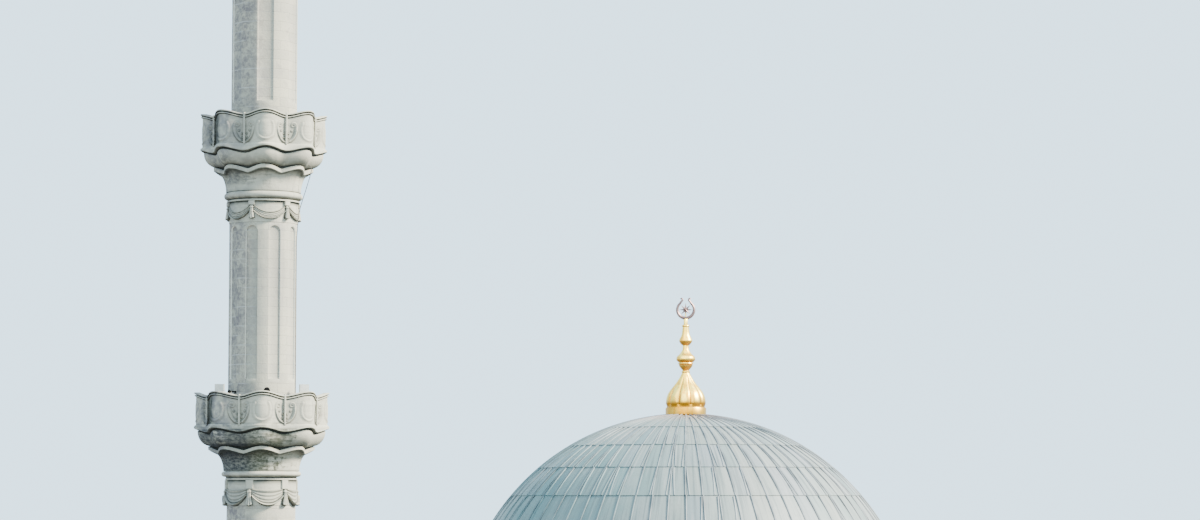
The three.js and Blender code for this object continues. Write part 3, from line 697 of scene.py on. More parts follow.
def dome_rows():
    profile, swell, tone = [], [], []
    columns = SHEETS * COLUMNS_PER_SHEET
    across = np.sin(np.pi * (np.arange(columns) % COLUMNS_PER_SHEET) / COLUMNS_PER_SHEET)
    for high, low in reversed(list(zip(LAPS, LAPS[1:]))):
        bow = np.repeat(rng.uniform(-0.004, 0.016, SHEETS), COLUMNS_PER_SHEET) * across
        own = np.repeat(rng.uniform(0, 1, SHEETS), COLUMNS_PER_SHEET)
        for t in np.linspace(1, 0, 6):
            angle = math.radians(high + (low - high) * t)
            r = DOME_OUT - 0.01 + LAP * t
            profile.append((r * math.cos(angle), DOME_Z + r * math.sin(angle)))
            swell.append(bow * math.sin(math.pi * min(max(t, 0.05), 0.95)))
            tone.append(own)
    inner = [(DOME_IN * math.sin(math.radians(a)), DOME_Z + DOME_IN * math.cos(math.radians(a)))
             for a in np.linspace(0, 87.0, 16)]
    profile = [*inner, *profile, (0.0, profile[-1][1])]
    rows = turned_rows(profile, columns)
    for k, extra in enumerate(swell):
        i = k + len(inner)
        away = rows[i] - (0, 0, DOME_Z)
        rows[i] += away / np.linalg.norm(away, axis=1)[:, None] * extra[:, None]
    # The face between row i and row i + 1 takes the tone of the sheet that it belongs to
    blank = np.zeros(columns)
    bands = [blank] * (len(inner) - 1) + tone[:-1]
    return rows, np.concatenate([*bands, blank, blank])


rows, tones = dome_rows()
turned_piece("dome_sheets", rows, DOME_LEAD, ["dome"], sharp=50, marks={"sheet": tones})

# %% Dome rolls
for tier, (high, low) in enumerate(zip(LAPS, LAPS[1:])):
    step = 2 * math.pi / SHEETS
    common = {"Low": math.radians(low) + 0.001, "Dome": (DOME_OUT + 0.005) * K,
              "Centre": (0, 0, DOME_Z * K), "Roll": 0.024 * K}
    # Label, count, first angle, step, upper end, stray, lean, and the share of the rolls that is kept
    parts = [("", SHEETS, 0.0, step, high, 0.0045, 0.0, 1.0),
             ("_right", SHEETS, step * 0.10, step, high - 0.3, 0.006, step * 0.17, 0.30),
             ("_left", SHEETS, step * 0.92, step, high - 0.3, 0.006, -step * 0.15, 0.30)]
    if tier == 0:
        parts = [("_long", 35, 0.0, step * 2, high, 0.0045, 0.0, 1.0),
                 ("_mid", 34, step, step * 2, 79.0, 0.0045, 0.0, 1.0)]
    for label, count, first, apart, top, stray, lean, keep in parts:
        values = {**common, "Count": count, "First": first, "Step": apart, "High": math.radians(top),
                  "Stray": stray, "Lean": lean, "Keep": keep, "Seed": 20 + tier + (40 if lean < 0 else 0)}
        grown(f"dome_rolls_{tier}{label}", ROLLS, values, DOME_LEAD)

# %% [markdown]
# ## The dome's finial
# A gored bulb of gilded copper stands on a band, with two knobs above it and an open crescent round a star.
# It is raised from sheet over a core, so everything is round except the gores, the curled tips and the flat
# star. The crescent lies in one plane and faces the photographer. A tube whose radius follows a rule makes it
# in one go.


# %% Tubes along a path
def tube_points(path, radii, sides, up):
    """Rings round a path; the first and last close to a point."""
    path, radii = np.array(path, float), np.broadcast_to(np.array(radii, float), len(path))
    ahead = np.gradient(path, axis=0)
    ahead /= np.linalg.norm(ahead, axis=1)[:, None]
    side = np.cross(ahead, np.array(up, float))
    side /= np.linalg.norm(side, axis=1)[:, None]
    other = np.cross(side, ahead)
    angle = circle(sides)[:, None]
    rings = [p + r * (np.cos(angle) * s + np.sin(angle) * o) for p, r, s, o in zip(path, radii, side, other)]
    return np.array(rings)


def tube_piece(name, path, radii, finish, sides, up=(0, 1, 0), **more):
    rings = tube_points(path, radii, sides, up)
    start, end = (np.repeat(ring.mean(0)[None, None], sides, 1) for ring in (rings[0], rings[-1]))
    return turned_piece(name, np.concatenate([start, rings, end]), finish, **more)


def joined(name, things, finish, **more):
    """One piece from several meshes, with their marks for dirt and painted shade."""
    points, faces, hollow_dirt_and_shade = [], [], []
    for thing in things:
        mesh, base = thing.data, len(points)
        points += [tuple(v.co / K) for v in mesh.vertices]
        faces += [[base + i for i in face.vertices] for face in mesh.polygons]
        dirt_and_shade = mesh.attributes.get("hollow_dirt_and_shade")
        hollow_dirt_and_shade += [d.value for d in dirt_and_shade.data] if dirt_and_shade else [0.0] * len(mesh.vertices)
    drop(*things)
    if any(hollow_dirt_and_shade):
        more["marks"] = {"hollow_dirt_and_shade": hollow_dirt_and_shade}
    return new_piece(name, points, faces, finish, **more)


def facing_camera(points):
    """Turns points that were laid out in X and Z to face the photographer."""
    x, y, z = np.moveaxis(np.array(points, float), -1, 0)
    c, s = math.cos(FACING), math.sin(FACING)
    return np.stack([x * c - y * s, x * s + y * c, z], -1)


# %% Dome finial
FINIAL_FOOT = DOME_Z + math.sqrt(DOME_OUT ** 2 - SEAT_R ** 2)


def finial_rows(rows, foot, columns, centre=(0, 0), gores=0, gored=(0, 0)):
    """A turned finial; between the two heights it swells into gores."""
    grid = turned_rows([(r, foot + z) for r, z in rows], columns, centre)
    hollow_dirt_and_shade = np.zeros(grid.shape[:2])
    if gores:
        hollow_dirt_and_shade[grid[:, 0, 2] < foot + gored[0]] = 0.8
        z = grid[:, 0, 2] - foot
        share = np.clip((z - gored[0]) / 0.06, 0, 1) * np.clip((gored[1] - z) / 0.25, 0, 1)
        crease = 1 - np.abs(np.sin(circle(columns) * gores / 2))
        pull = 1 - 0.085 * share[:, None] * crease ** 2
        grid[..., :2] = np.array(centre) + (grid[..., :2] - np.array(centre)) * pull[..., None]
        low = np.exp(-((z - gored[0] - 0.04) / 0.15) ** 2)[:, None]
        strokes = np.exp(-((z - gored[0] - 0.05) / 0.45) ** 2)[:, None] * crease ** 0.6
        hollow_dirt_and_shade = np.maximum(np.maximum(hollow_dirt_and_shade, share[:, None] * crease ** 4), np.maximum(low, 0.9 * strokes))
    return grid, hollow_dirt_and_shade


def smooth_profile(rows, steps=3):
    """Rounds a profile by putting points of a Catmull-Rom curve between its own."""
    p = np.array([rows[0], *rows, rows[-1]], float)
    out = []
    for a, b, c, d in zip(p, p[1:], p[2:], p[3:]):
        for t in np.arange(steps) / steps:
            square, cube = 2 * a - 5 * b + 4 * c - d, 3 * b - a - 3 * c + d
            out.append(0.5 * (2 * b + (c - a) * t + square * t ** 2 + cube * t ** 3))
    out = [(max(r, 0.004), z) for r, z in out] + [tuple(rows[-1])]
    return out


bulb = smooth_profile([(0.615, 0.32), (0.63, 0.40), (0.605, 0.56), (0.535, 0.72), (0.41, 0.88), (0.29, 1.03),
                       (0.18, 1.2), (0.115, 1.32)], 4)
cup = smooth_profile([(0.105, 1.41), (0.19, 1.51), (0.215, 1.57)])
knob = smooth_profile([(0.235, 1.66), (0.295, 1.73), (0.275, 1.83), (0.18, 1.92), (0.095, 2.05)])
small_knob = smooth_profile([(0.14, 2.21), (0.205, 2.31), (0.19, 2.38), (0.125, 2.53), (0.095, 2.76)])
upper_part = [(0.13, 1.34), (0.13, 1.37), (0.10, 1.40), *cup, *torus_of(0.2, 1.58, 1.65, 0.035, 5), *knob,
              (0.09, 2.18), *small_knob, *torus_of(0.09, 2.76, 2.82, 0.03, 5), (0.062, 2.85), (0.062, 2.99),
              (0.03, 3.04), (0.0, 3.05)]
band = [(0.0, 0.0), (0.62, 0.0), (0.635, 0.02), (0.635, 0.21), (0.62, 0.235), (0.595, 0.245), (0.595, 0.28)]
grid, hollow_dirt_and_shade = finial_rows([*band, *bulb, *upper_part], FINIAL_FOOT, 120, gores=10, gored=(0.27, 1.32))
marks = {"hollow_dirt_and_shade": np.concatenate([[0], hollow_dirt_and_shade[1:-1].ravel(), [0]])}
turned_piece("finial_bulb", grid, GILT, ["dome_finial"], marks=marks)

# %% Crescent and star
CRESCENT_Z, CRESCENT_R = FINIAL_FOOT + 3.30, 0.262
sweep = np.linspace(-1, 1, 41)
angle = sweep * (math.pi - 0.72) - math.pi / 2
path = np.stack([CRESCENT_R * np.cos(angle), 0 * angle, CRESCENT_Z + CRESCENT_R * np.sin(angle)], -1)
tip = [(0.145, 0.245), (0.115, 0.275), (0.098, 0.305), (0.100, 0.335), (0.122, 0.352), (0.145, 0.348),
       (0.152, 0.332)]
for end in (0, -1):
    side = math.copysign(1, path[end, 0])
    curl = [(side * x, 0, CRESCENT_Z + z) for x, z in tip]
    path = np.concatenate([curl[::-1], path]) if end == 0 else np.concatenate([path, curl])
thickness = 0.021 + 0.029 * np.cos(np.linspace(-1, 1, len(path)) * math.pi / 2) ** 0.8
thickness[[0, 1, -2, -1]] = 0.024
flat_side = (-math.sin(FACING), math.cos(FACING), 0)
tube_piece("crescent", facing_camera(path), thickness, OLD_GILT, 10, up=flat_side)

star_points, star_faces = [(0, -0.035, CRESCENT_Z), (0, 0.035, CRESCENT_Z)], []
for i in range(16):
    r, a = (0.072 if i % 2 else 0.215), i * math.pi / 8
    star_points.append((r * math.cos(a), 0, CRESCENT_Z + r * math.sin(a)))
    star_faces += [[0, 2 + (i + 1) % 16, 2 + i][::-1], [1, 2 + i, 2 + (i + 1) % 16][::-1]]
new_piece("star", facing_camera(star_points), star_faces, OLD_GILT, sharp=15)
stem = [(0, 0, z) for z in np.linspace(FINIAL_FOOT + 2.97, CRESCENT_Z - 0.1, 5)]
tube_piece("star_stem", stem, 0.018, GILT, 8)

# %% [markdown]
# ## Drum and its cornice
# Under the dome stands a drum with sixteen round-headed windows. The frame's drum has forty flat sides, which
# show from above, so a rounder one takes its place: a plain ring with the windows cut through by one boolean,
# each with a moulded stone surround, bars and glass. One window is made and fifteen copies are turned round
# the axis.


# %% Boolean cuts and swept surrounds
def arch_path(width, sill, spring, steps=12):
    """Up one jamb, round the head and down the other, with the outward direction at each point."""
    half = width / 2
    turn = np.linspace(math.pi, 0, steps + 1)
    path = [(-half, sill), *[(half * math.cos(t), spring + half * math.sin(t)) for t in turn], (half, sill)]
    out = [(-1, 0), *[(math.cos(t), math.sin(t)) for t in turn], (1, 0)]
    return np.array(path), np.array(out)


def box_outline(x, half, low, high):
    return [(x - half, low), (x + half, low), (x + half, high), (x - half, high)]


def prism(name, outline, front, back):
    """An upright outline in X and Z between two depths."""
    n = len(outline)
    points = [(x, front, z) for x, z in outline] + [(x, back, z) for x, z in outline]
    faces = [list(range(n)), list(range(2 * n - 1, n - 1, -1))]
    faces += [[i, i + n, (i + 1) % n + n, (i + 1) % n] for i in range(n)]
    return outward(new_piece(name, points, faces, None))


def reshaped(mesh, change):
    """Runs one bmesh edit on a mesh."""
    shape = bmesh.new()
    shape.from_mesh(mesh)
    change(shape)
    shape.to_mesh(mesh)
    shape.free()


def outward(thing):
    reshaped(thing.data, lambda shape: bmesh.ops.recalc_face_normals(shape, faces=shape.faces))
    return thing


def carve(thing, cutter):
    """Cuts one mesh out of another and keeps the result as a plain mesh."""
    cut = thing.modifiers.new("cut", "BOOLEAN")
    cut.operation, cut.solver, cut.object = "DIFFERENCE", "EXACT", cutter
    applied(thing, cut)
    drop(cutter)
    return thing


def swept_surround(width, sill, spring, face, section, x=0.0):
    """A moulding round an opening. The section is in outward reach and reach in front of the wall's face."""
    path, out = arch_path(width, sill, spring)
    section = np.array(section, float)
    points = np.array([[(x + px + ox * reach, face - front, pz + oz * reach) for reach, front in section]
                       for (px, pz), (ox, oz) in zip(path, out)])
    n, m = points.shape[:2]
    faces = np.array(ring_faces(n, m, False)).tolist()
    faces += [list(range(m))[::-1], [(n - 1) * m + k for k in range(m)]]
    return outward(new_piece("surround", points, faces, None))


def pane(width, sill, spring, depth, x=0.0, square=False):
    if square:
        outline = box_outline(x, width / 2 + 0.01, sill, spring)
    else:
        outline = arch_path(width + 0.02, sill, spring)[0] + (x, 0)
    return prism("pane", outline, depth, depth + 0.03)


def bar_lattice(width, sill, spring, top, depth, size, x=0.0):
    """Bars behind an opening; size gives the columns, the rows and how thick the bars are."""
    columns, rows, bar = size
    lengths = {"Width": width, "Sill": sill, "Spring": spring, "Top": top, "Depth": depth, "Bar": bar,
               "Middle": x}
    lengths = {label: length * K for label, length in lengths.items()}
    return grown("bars", LATTICE, {**lengths, "Columns": columns, "Rows": rows}, None)


MOULDING = [(0.0, -0.03), (0.0, 0.05), (0.035, 0.085), (0.075, 0.085), (0.085, 0.055), (0.12, 0.055),
            (0.14, 0.03), (0.17, 0.03), (0.17, -0.03)]

# %% Drum
DRUM_WINDOW = dict(width=0.95, sill=16.75, spring=17.3)
ring = [(DOME_IN, DRUM_FOOT), (DRUM_OUT, DRUM_FOOT), (DRUM_OUT, DRUM_TOP), (DOME_IN, DRUM_TOP)]
drum = new_piece("drum_ring", turned_rows(ring, 160), ring_faces(4, 160), None)
cutter = prism("drum_window", arch_path(**DRUM_WINDOW)[0], -8.2, -5.5)
cutters = copies("drum_windows", cutter, 16, None, first=11.25)
settle(carve(drum, cutters), DRUM_STONE, ["drum"], sharp=25)
window_parts = (("surrounds", swept_surround(**DRUM_WINDOW, face=-DRUM_OUT, section=MOULDING), CARVED),
                ("glass", pane(**DRUM_WINDOW, depth=-7.0), GLASS),
                ("bars", bar_lattice(**DRUM_WINDOW, top=17.8, depth=-7.12, size=(6, 7, 0.014)), IRON))
for label, one, finish in window_parts:
    copies(f"drum_{label}", one, 16, finish, first=11.25)

cornice = [(DOME_OUT + 0.02, 18.201), (DRUM_OUT - 0.02, 18.201), (DRUM_OUT + 0.03, 18.21),
           *curve_of((DRUM_OUT + 0.05, 18.25), (DRUM_OUT + 0.2, 18.39), "cove", 6),
           (DRUM_OUT + 0.22, 18.40), (DRUM_OUT + 0.22, 18.43),
           *torus_of(DRUM_OUT + 0.23, 18.44, 18.55, 0.05, 7),
           (DRUM_OUT + 0.26, 18.57), (DOME_OUT + 0.05, 18.70), (DOME_OUT + 0.02, 18.70)]
turned_piece("drum_moulding", turned_rows(cornice, 160), CARVED, ["drum_cornice"])

# %% [markdown]
# ## Hall
# Walls, towers, steps and the infill of the great arches are flat, so the frame's own solids stay and only
# take their finish. A merged copy with smooth shading takes the place of each pendentive. A great arch is
# built of wedge stones over a timber centre, so it is swept anew, body and hood, round the centre of its
# span. Surrounds, glass and bars are made once for a side and copied to the others.

# %% Finishes of the frame's own solids
SIDES = ["front", "right", "back", "left"]
CORNERS = ["back_right", "back_left", "front_left", "front_right"]
flat_nodes = ["floor_slab", "entrance_steps", "portal_surround", "minaret_base"]
flat_nodes += [f"{side}_{kind}" for side in SIDES for kind in ("wall", "tympanum")]
flat_nodes += [f"{corner}_tower" for corner in CORNERS]
for node in flat_nodes:
    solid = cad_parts[node]
    solid.data.materials.clear()
    solid.data.materials.append((CARVED if node == "portal_surround" else ASHLAR).material)
print(len(flat_nodes), "frame solids finished")


def rounded_copy(node, finish):
    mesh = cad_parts[node].data.copy()
    mesh.name = node + "_round"
    reshaped(mesh, lambda shape: bmesh.ops.remove_doubles(shape, verts=shape.verts, dist=1e-5))
    thing = bpy.data.objects.new(node + "_round", mesh)
    bpy.context.scene.collection.objects.link(thing)
    return settle(thing, finish, [node], sharp=28)


for corner in CORNERS:
    rounded_copy(f"{corner}_pendentive", ROOF_LEAD)


# %% Great arches
# Half the clear width between two towers
BAY = 6.399


def arch_sweep(inner, outer, front, back):
    """Part of a round arch, cut off upright where it meets the towers."""
    first = max(1e-4, math.acos(min(1.0, BAY / inner)) + 1e-3)
    cut = math.acos(BAY / outer)
    t = np.unique(np.concatenate([np.linspace(first, math.pi - first, 97), [cut, math.pi - cut]]))
    rim = np.minimum(outer, BAY / np.maximum(np.abs(np.cos(t)), 0.1))
    points = []
    for far, c, s in zip(rim, np.cos(t), np.sin(t)):
        corners = ((inner, front), (far, front), (far, back), (inner, back))
        points.append([(r * c, y, SPRING + r * s) for r, y in corners])
    faces = ring_faces(len(t), 4, False) + [[3, 2, 1, 0], [4 * len(t) - 4 + k for k in range(4)]]
    return outward(new_piece("arch", points, faces, None))


ARCH_IN, ARCH_RIM = math.sqrt(2 * 6.4 ** 2 - 7.0 ** 2), math.sqrt(10.0 ** 2 - 7.0 ** 2)
seat_rim = DRUM_OUT + 0.001
seat = [(0, DRUM_FOOT - 0.001), (seat_rim, DRUM_FOOT - 0.001), (seat_rim, 18), (0, 18)]
seat = turned_piece("drum_seat", turned_rows(seat, 160), None)
body = carve(arch_sweep(ARCH_IN, ARCH_RIM, -WALL_OUT, -7.0), outward(seat))
hood = arch_sweep(6.6, ARCH_RIM + 0.12, -WALL_OUT - 0.25, -WALL_OUT + 0.3)
copies("great_arches", joined("great_arch", [body, hood], None), 4, WEDGES,
       [f"{side}_great_arch" for side in SIDES], sharp=28)

# %% Hall windows
LOW = dict(width=1.15, sill=1.6, spring=3.9, face=WALL_OUT, glass=7.6, bars_size=(7, 12, 0.016), square=True)
HIGH = dict(width=1.25, sill=5.5, spring=7.3, face=WALL_OUT, glass=7.9, bars_size=(7, 13, 0.013))
NO_HEAD = 99


def side_windows(name, spots, width, sill, spring, face, glass, bars_size, square=False, sides=(4, 0)):
    """Surround, glass and bars of one tier. Sides says how many walls have it, and where the first is."""
    count, first = sides
    surrounds, panes, lattices = [], [], []
    for x in spots:
        half, rim = width / 2, 0.2
        if square:
            outline = box_outline(x, half + rim, sill - rim, spring + rim)
            frame_block = prism("surround", outline, -face - 0.06, -face + 0.02)
            hole = prism("hole", box_outline(x, half, sill, spring), -face - 1, -face + 1)
            ledge = box_outline(x, half + rim + 0.06, spring + rim, spring + rim + 0.11)
            surrounds += [carve(frame_block, hole), prism("ledge", ledge, -face - 0.13, -face + 0.02)]
        else:
            base = box_outline(x, half + 0.24, sill - 0.13, sill)
            surrounds += [swept_surround(width, sill, spring, -face, MOULDING, x),
                          prism("sill", base, -face - 0.13, -face + 0.02)]
        panes.append(pane(width, sill, spring, -glass, x, square))
        # Under a square head no bar is cut off, so the springing is put out of reach
        top, round_from = (spring, NO_HEAD) if square else (spring + half, spring)
        lattices.append(bar_lattice(width, sill, round_from, top, -glass - 0.12, bars_size, x))
    layers = (("surrounds", surrounds, CARVED), ("glass", panes, GLASS), ("bars", lattices, IRON))
    for label, things, finish in layers:
        copies(f"{name}_{label}", joined(label, things, None), count, finish, first=first, step=90, sharp=30)


side_windows("low_windows", (-4.8, -2.4, 2.4, 4.8), **LOW)
side_windows("middle_windows", (0,), **LOW, sides=(3, 90))
side_windows("high_windows", (-4.8, -2.4, 0, 2.4, 4.8), **HIGH)
side_windows("tympanum_windows_low", (-3.8, -1.9, 0, 1.9, 3.8), width=1.1, sill=SPRING + 0.8,
             spring=SPRING + 2.3, face=8.1, glass=7.65, bars_size=(7, 11, 0.013))
side_windows("tympanum_windows_high", (-1.9, 0, 1.9), width=1.0, sill=SPRING + 3.4,
             spring=SPRING + 4.15, face=8.1, glass=7.65, bars_size=(6, 8, 0.013))

# %% [markdown]
# ## Arch mouldings, portal and tower caps
# The great arches show on all four sides as a stepped band. Two round mouldings follow it. The portal gets a
# moulded frame round its arch, and each corner turret a lead cap with eight gores, gathered into a small
# knob.


# %% Arch mouldings and portal
def arc_tube(radius, face, thick, low, high):
    t = np.radians(np.linspace(low, high, 48))
    path = np.stack([radius * np.cos(t), np.full(t.shape, -face), SPRING + radius * np.sin(t)], -1)
    return tube_piece("moulding", path, thick, None, 10)


edge_low = math.degrees(math.acos(6.36 / 7.2))
hoods = [arc_tube(6.64, 8.75, 0.05, 16.5, 163.5), arc_tube(7.19, 8.75, 0.055, edge_low, 180 - edge_low),
         arc_tube(5.80, 8.5, 0.045, 0.5, 179.5)]
copies("arch_mouldings", joined("hoods", hoods, None), 4, CARVED)
portal_section = [(0.0, -0.02), (0.0, 0.05), (0.05, 0.09), (0.12, 0.09), (0.14, 0.05), (0.24, 0.05),
                  (0.26, 0.07), (0.32, 0.07), (0.34, -0.02)]
portal = swept_surround(2.0, FLOOR_TOP + 0.02, 3.6, -8.8, portal_section)
portal.name = "portal_moulding"
settle(portal, CARVED)

# %% Tower caps
bell = smooth_profile([(1.06, 16.16), (1.06, 16.26), (1.0, 16.45), (0.93, 16.9), (0.72, 17.3), (0.40, 17.62),
                       (0.2, 17.8), (0.13, 17.92)], 3)
cap_profile = [(0.0, 16.151), (1.04, 16.151), *bell, *torus_of(0.13, 17.92, 18.06, 0.07, 6), (0.1, 18.08),
               *smooth_profile([(0.13, 18.12), (0.18, 18.22), (0.13, 18.34), (0.05, 18.46)], 2),
               (0.02, 18.68), (0.0, 18.70)]
cap = turned_rows(cap_profile, 96)
reach = np.clip((cap[:, :, 2] - 16.2) / 0.1, 0, 1) * np.clip((17.75 - cap[:, :, 2]) / 0.2, 0, 1)
crease = np.abs(np.sin(circle(96) * 4 + math.pi / 2))[None]
cap[..., :2] *= (1 - 0.07 * reach * (1 - crease))[..., None]
cap[..., :2] += TOWER_MID
corner_cap = turned_piece("cap", cap, None)
copies("tower_caps", corner_cap, 4, CONE_LEAD, [f"{corner}_tower_cap" for corner in CORNERS])

# %% [markdown]
# ## Minaret shafts
# The shaft is a plain tube of coursed stone with tall sunk panels, round at the head and square at the foot.
# In the photo they stand 40 degrees apart up to the upper balcony, so there are nine, and 60 above it, so
# there are six. The left reveal of each catches the light and the right one is dark, so the panels are real
# cuts with a softened edge: a tube of 128 columns, one boolean with all the panels, and one with the doorway.

# %% Shafts
PANEL_DEEP = 0.06


def shaft_piece(name, r, low, high, foot, head, panels, finish, door=None, kept=None):
    """A shaft with its panels. Kept says how many stay, and from where, if one would run into the doorway."""
    count, first, width = panels
    stay, start = kept or (count, first)
    levels = np.arange(low, high, 0.42)
    profile = [(BORE_R, low + HAIR), (r, low + HAIR), *[(r, z) for z in levels[1:]], (r, high - HAIR),
               (BORE_R, high - HAIR)]
    tube = new_piece(name, turned_rows(profile, 128), ring_faces(len(profile), 128), None)
    panel = prism("panel", arch_path(width, foot, head - width / 2, 16)[0], -r - 0.3, -r + PANEL_DEEP)
    carve(tube, copies("panels", panel, stay, None, first=start, step=360 / count))
    if door:
        doorway = prism("doorway", arch_path(0.62, door - 0.1, door + 1.5, 14)[0], -2, 0)
        # Half a turn, as the doorway is at the back
        doorway.data.transform([[-1, 0, 0, 0], [0, -1, 0, 0], [0, 0, 1, 0], [0, 0, 0, 1]])
        carve(tube, outward(doorway))
    for v in tube.data.vertices:
        v.co.x += MINARET[0] * K
        v.co.y += MINARET[1] * K
    soft = tube.modifiers.new("soft edges", "BEVEL")
    soft.width, soft.segments, soft.limit_method, soft.angle_limit = 0.024 * K, 2, "ANGLE", math.radians(50)
    return settle(applied(tube, soft), finish, [name.replace("_stone", "")], sharp=28)


shaft_piece("lower_shaft_stone", LOWER["shaft"], SHAFT_FOOT, LOWER["foot"], 13.0, 21.6,
            NINE_PANELS, NINE_STONE)
shaft_piece("middle_shaft_stone", UPPER["shaft"], LOWER["floor"], UPPER["foot"], 25.95, 30.6,
            NINE_PANELS, NINE_STONE, LOWER["floor"], (8, 208.9))
shaft_piece("upper_shaft_stone", UPPER_SHAFT_R, UPPER["floor"], SHAFT_TOP, 34.4, 40.2,
            SIX_PANELS, SIX_STONE, UPPER["floor"])

# %% [markdown]
# ## Balcony corbels
# Each balcony grows out of the shaft in a stack of mouldings: swag band, fillet, torus, a wide cove, a thin
# band that runs in a wave, and a swelling ovolo under the floor's edge. From the cove up, everything follows
# eight lobes, and the wave dips where the lobes meet. Rows of a turned solid carry five numbers each: radius,
# height, depth of the lobes, depth of the wave, and how far the wave comes to a point at its dips.


# %% Corbels
def lobed_rows(rows, columns, centre, turn):
    """Rows of [radius, height, lobe, wave, point]; the last says how sharp the dips are."""
    angle = circle(columns)
    soft, keen = (1 + np.cos(8 * angle)) / 2, 1 - np.abs(np.sin(4 * angle))
    grid = []
    for r, z, lobe, wave, point in rows:
        fall = soft * (1 - point) + keen * point
        grid.append(around(centre, r - lobe * fall, angle + turn, z - wave * fall))
    return np.array(grid)


def corbel_piece(balcony):
    foot, floor, shaft = (balcony[key] for key in ("foot", "floor", "shaft"))
    rim, lobe, edge = (balcony[key] for key in ("rim", "lobe", "edge"))
    (f0, f1), (t0, t1), (b0, b1) = balcony["fillet"], balcony["torus"], balcony["band"]
    reach, wave = balcony["ledge"], 0.125
    rows, dirt_and_shade = [], []

    def row(r, z, lobe_depth=0.0, wave=0.0, point=0.0, mark=0.0):
        rows.append((r, z, lobe_depth, wave, point))
        dirt_and_shade.append(mark)

    row(BORE_R, foot + HAIR)
    # The top of the shaft, under the fillet, is painted darker: painted shade
    for t in np.linspace(0, 1, 12):
        row(shaft + 0.012 + 0.01 * t, foot + HAIR + (f0 - 0.02 - foot) * t, mark=max(0.0, t - 0.86) / 0.14)
    # Fillet and torus, each with a groove over it painted dark, as shade and dirt; the torus's foot is
    # painted dark as shade
    row(shaft + 0.02, f0 - 0.006, mark=1.0)
    row(shaft + reach - 0.01, f0, mark=0.5)
    row(shaft + reach, f0 + 0.01, mark=-0.5)
    row(shaft + reach, f1 - 0.012, mark=-0.5)
    row(shaft + reach - 0.012, f1 - 0.004)
    row(shaft + 0.03, f1 + 0.004, mark=1.0)
    row(shaft + 0.03, t0 - 0.012, mark=1.0)
    for r, z in torus_of(shaft + 0.06, t0, t1, 0.105, 13):
        over, under = (z - t1) / (t1 - t0) + 0.3, 0.25 - (z - t0) / (t1 - t0)
        row(r, z, mark=0.6 * max(0.0, over) + 0.9 * max(0.0, under) - 0.25)
    row(shaft + 0.085, t1 + 0.004, mark=0.3)
    # The cove leaves the torus round and takes on the lobes on its way out. Its foot, and its top under the
    # band, are painted dark as shade.
    cove = curve_of((shaft + 0.11, t1 + 0.012), (rim * 0.755, b0 - 0.03), "cove", 17)
    for (r, z), t in zip(cove, np.linspace(0, 1, 17)):
        mark = max(0.35 - 4 * t, 0.0, min(3.2 * t - 2.1, 1.0) * 0.85)
        row(r, z, lobe * 0.82 * t ** 1.6, 0.13 * t ** 1.3, 0.5 * t, mark)
    # The band's faces stay light; under it and above it the mark paints shade
    band = rim * 0.785
    for dr, z, mark in ((-0.02, b0, 0.3), (0.0, b0 + 0.012, -1), (0.004, b1 - 0.012, -1),
                        (-0.012, b1, -0.8), (-0.07, b1 + 0.004, 1.0)):
        row(band + dr, z, lobe * 0.82, 0.13, 0.5, mark)
    # The ovolo's foot waves less than the band, so dark gaps open over the band's dips; the ovolo's foot is
    # painted dark as shade too
    ovolo = curve_of((band - 0.07, b1 + 0.012), (rim * 0.945, edge - 0.075), "ovolo", 17)
    for (r, z), t in zip(ovolo, np.linspace(0, 1, 17)):
        depth = lobe * (0.82 + 0.15 * t + 0.25 * math.sin(math.pi * t))
        row(r, z, depth, 0.055 + 0.07 * t, 0.2 * (1 - t), max(0.95 - 2.6 * t, 0.0))
    # Under the rim's edge a band painted near black: the painted shadow of the undercut
    row(rim * 0.925, edge - 0.05, lobe, wave, 0, 1)
    row(rim * 0.925, edge - 0.012, lobe, wave, 0, 1)
    row(rim - 0.02, edge - 0.002, lobe, wave, 0, 0.3)
    row(rim, edge + 0.015, lobe, wave, 0, -0.3)
    row(rim, edge + 0.06, lobe, wave * 0.9, mark=0.25 if balcony is LOWER else 0)
    row(rim - 0.03, floor - 0.03, lobe, wave * 0.2)
    row(rim - 0.062, floor - HAIR, lobe)
    row(BORE_R, floor - HAIR)
    grid = lobed_rows(rows, 384, MINARET, math.radians(balcony["turn"]))
    marks = {"hollow_dirt_and_shade": np.repeat(dirt_and_shade, grid.shape[1])}
    name = balcony["name"]
    return turned_piece(name + "_corbel_stone", grid, BALCONY_STONE, [name + "_balcony_corbel"], marks=marks)


corbel_piece(LOWER)
corbel_piece(UPPER)

# %% [markdown]
# ## Swags
# Under each torus hang six swags of cloth cut in stone, tied to six square blocks, with a tassel below each
# block. A swag is a patch laid on the cylinder: its upper and lower edges sag, folds run along it, and its
# lower edge is a thick roll that throws a shadow. One swag with its block and tassel is made, and five copies
# are turned.


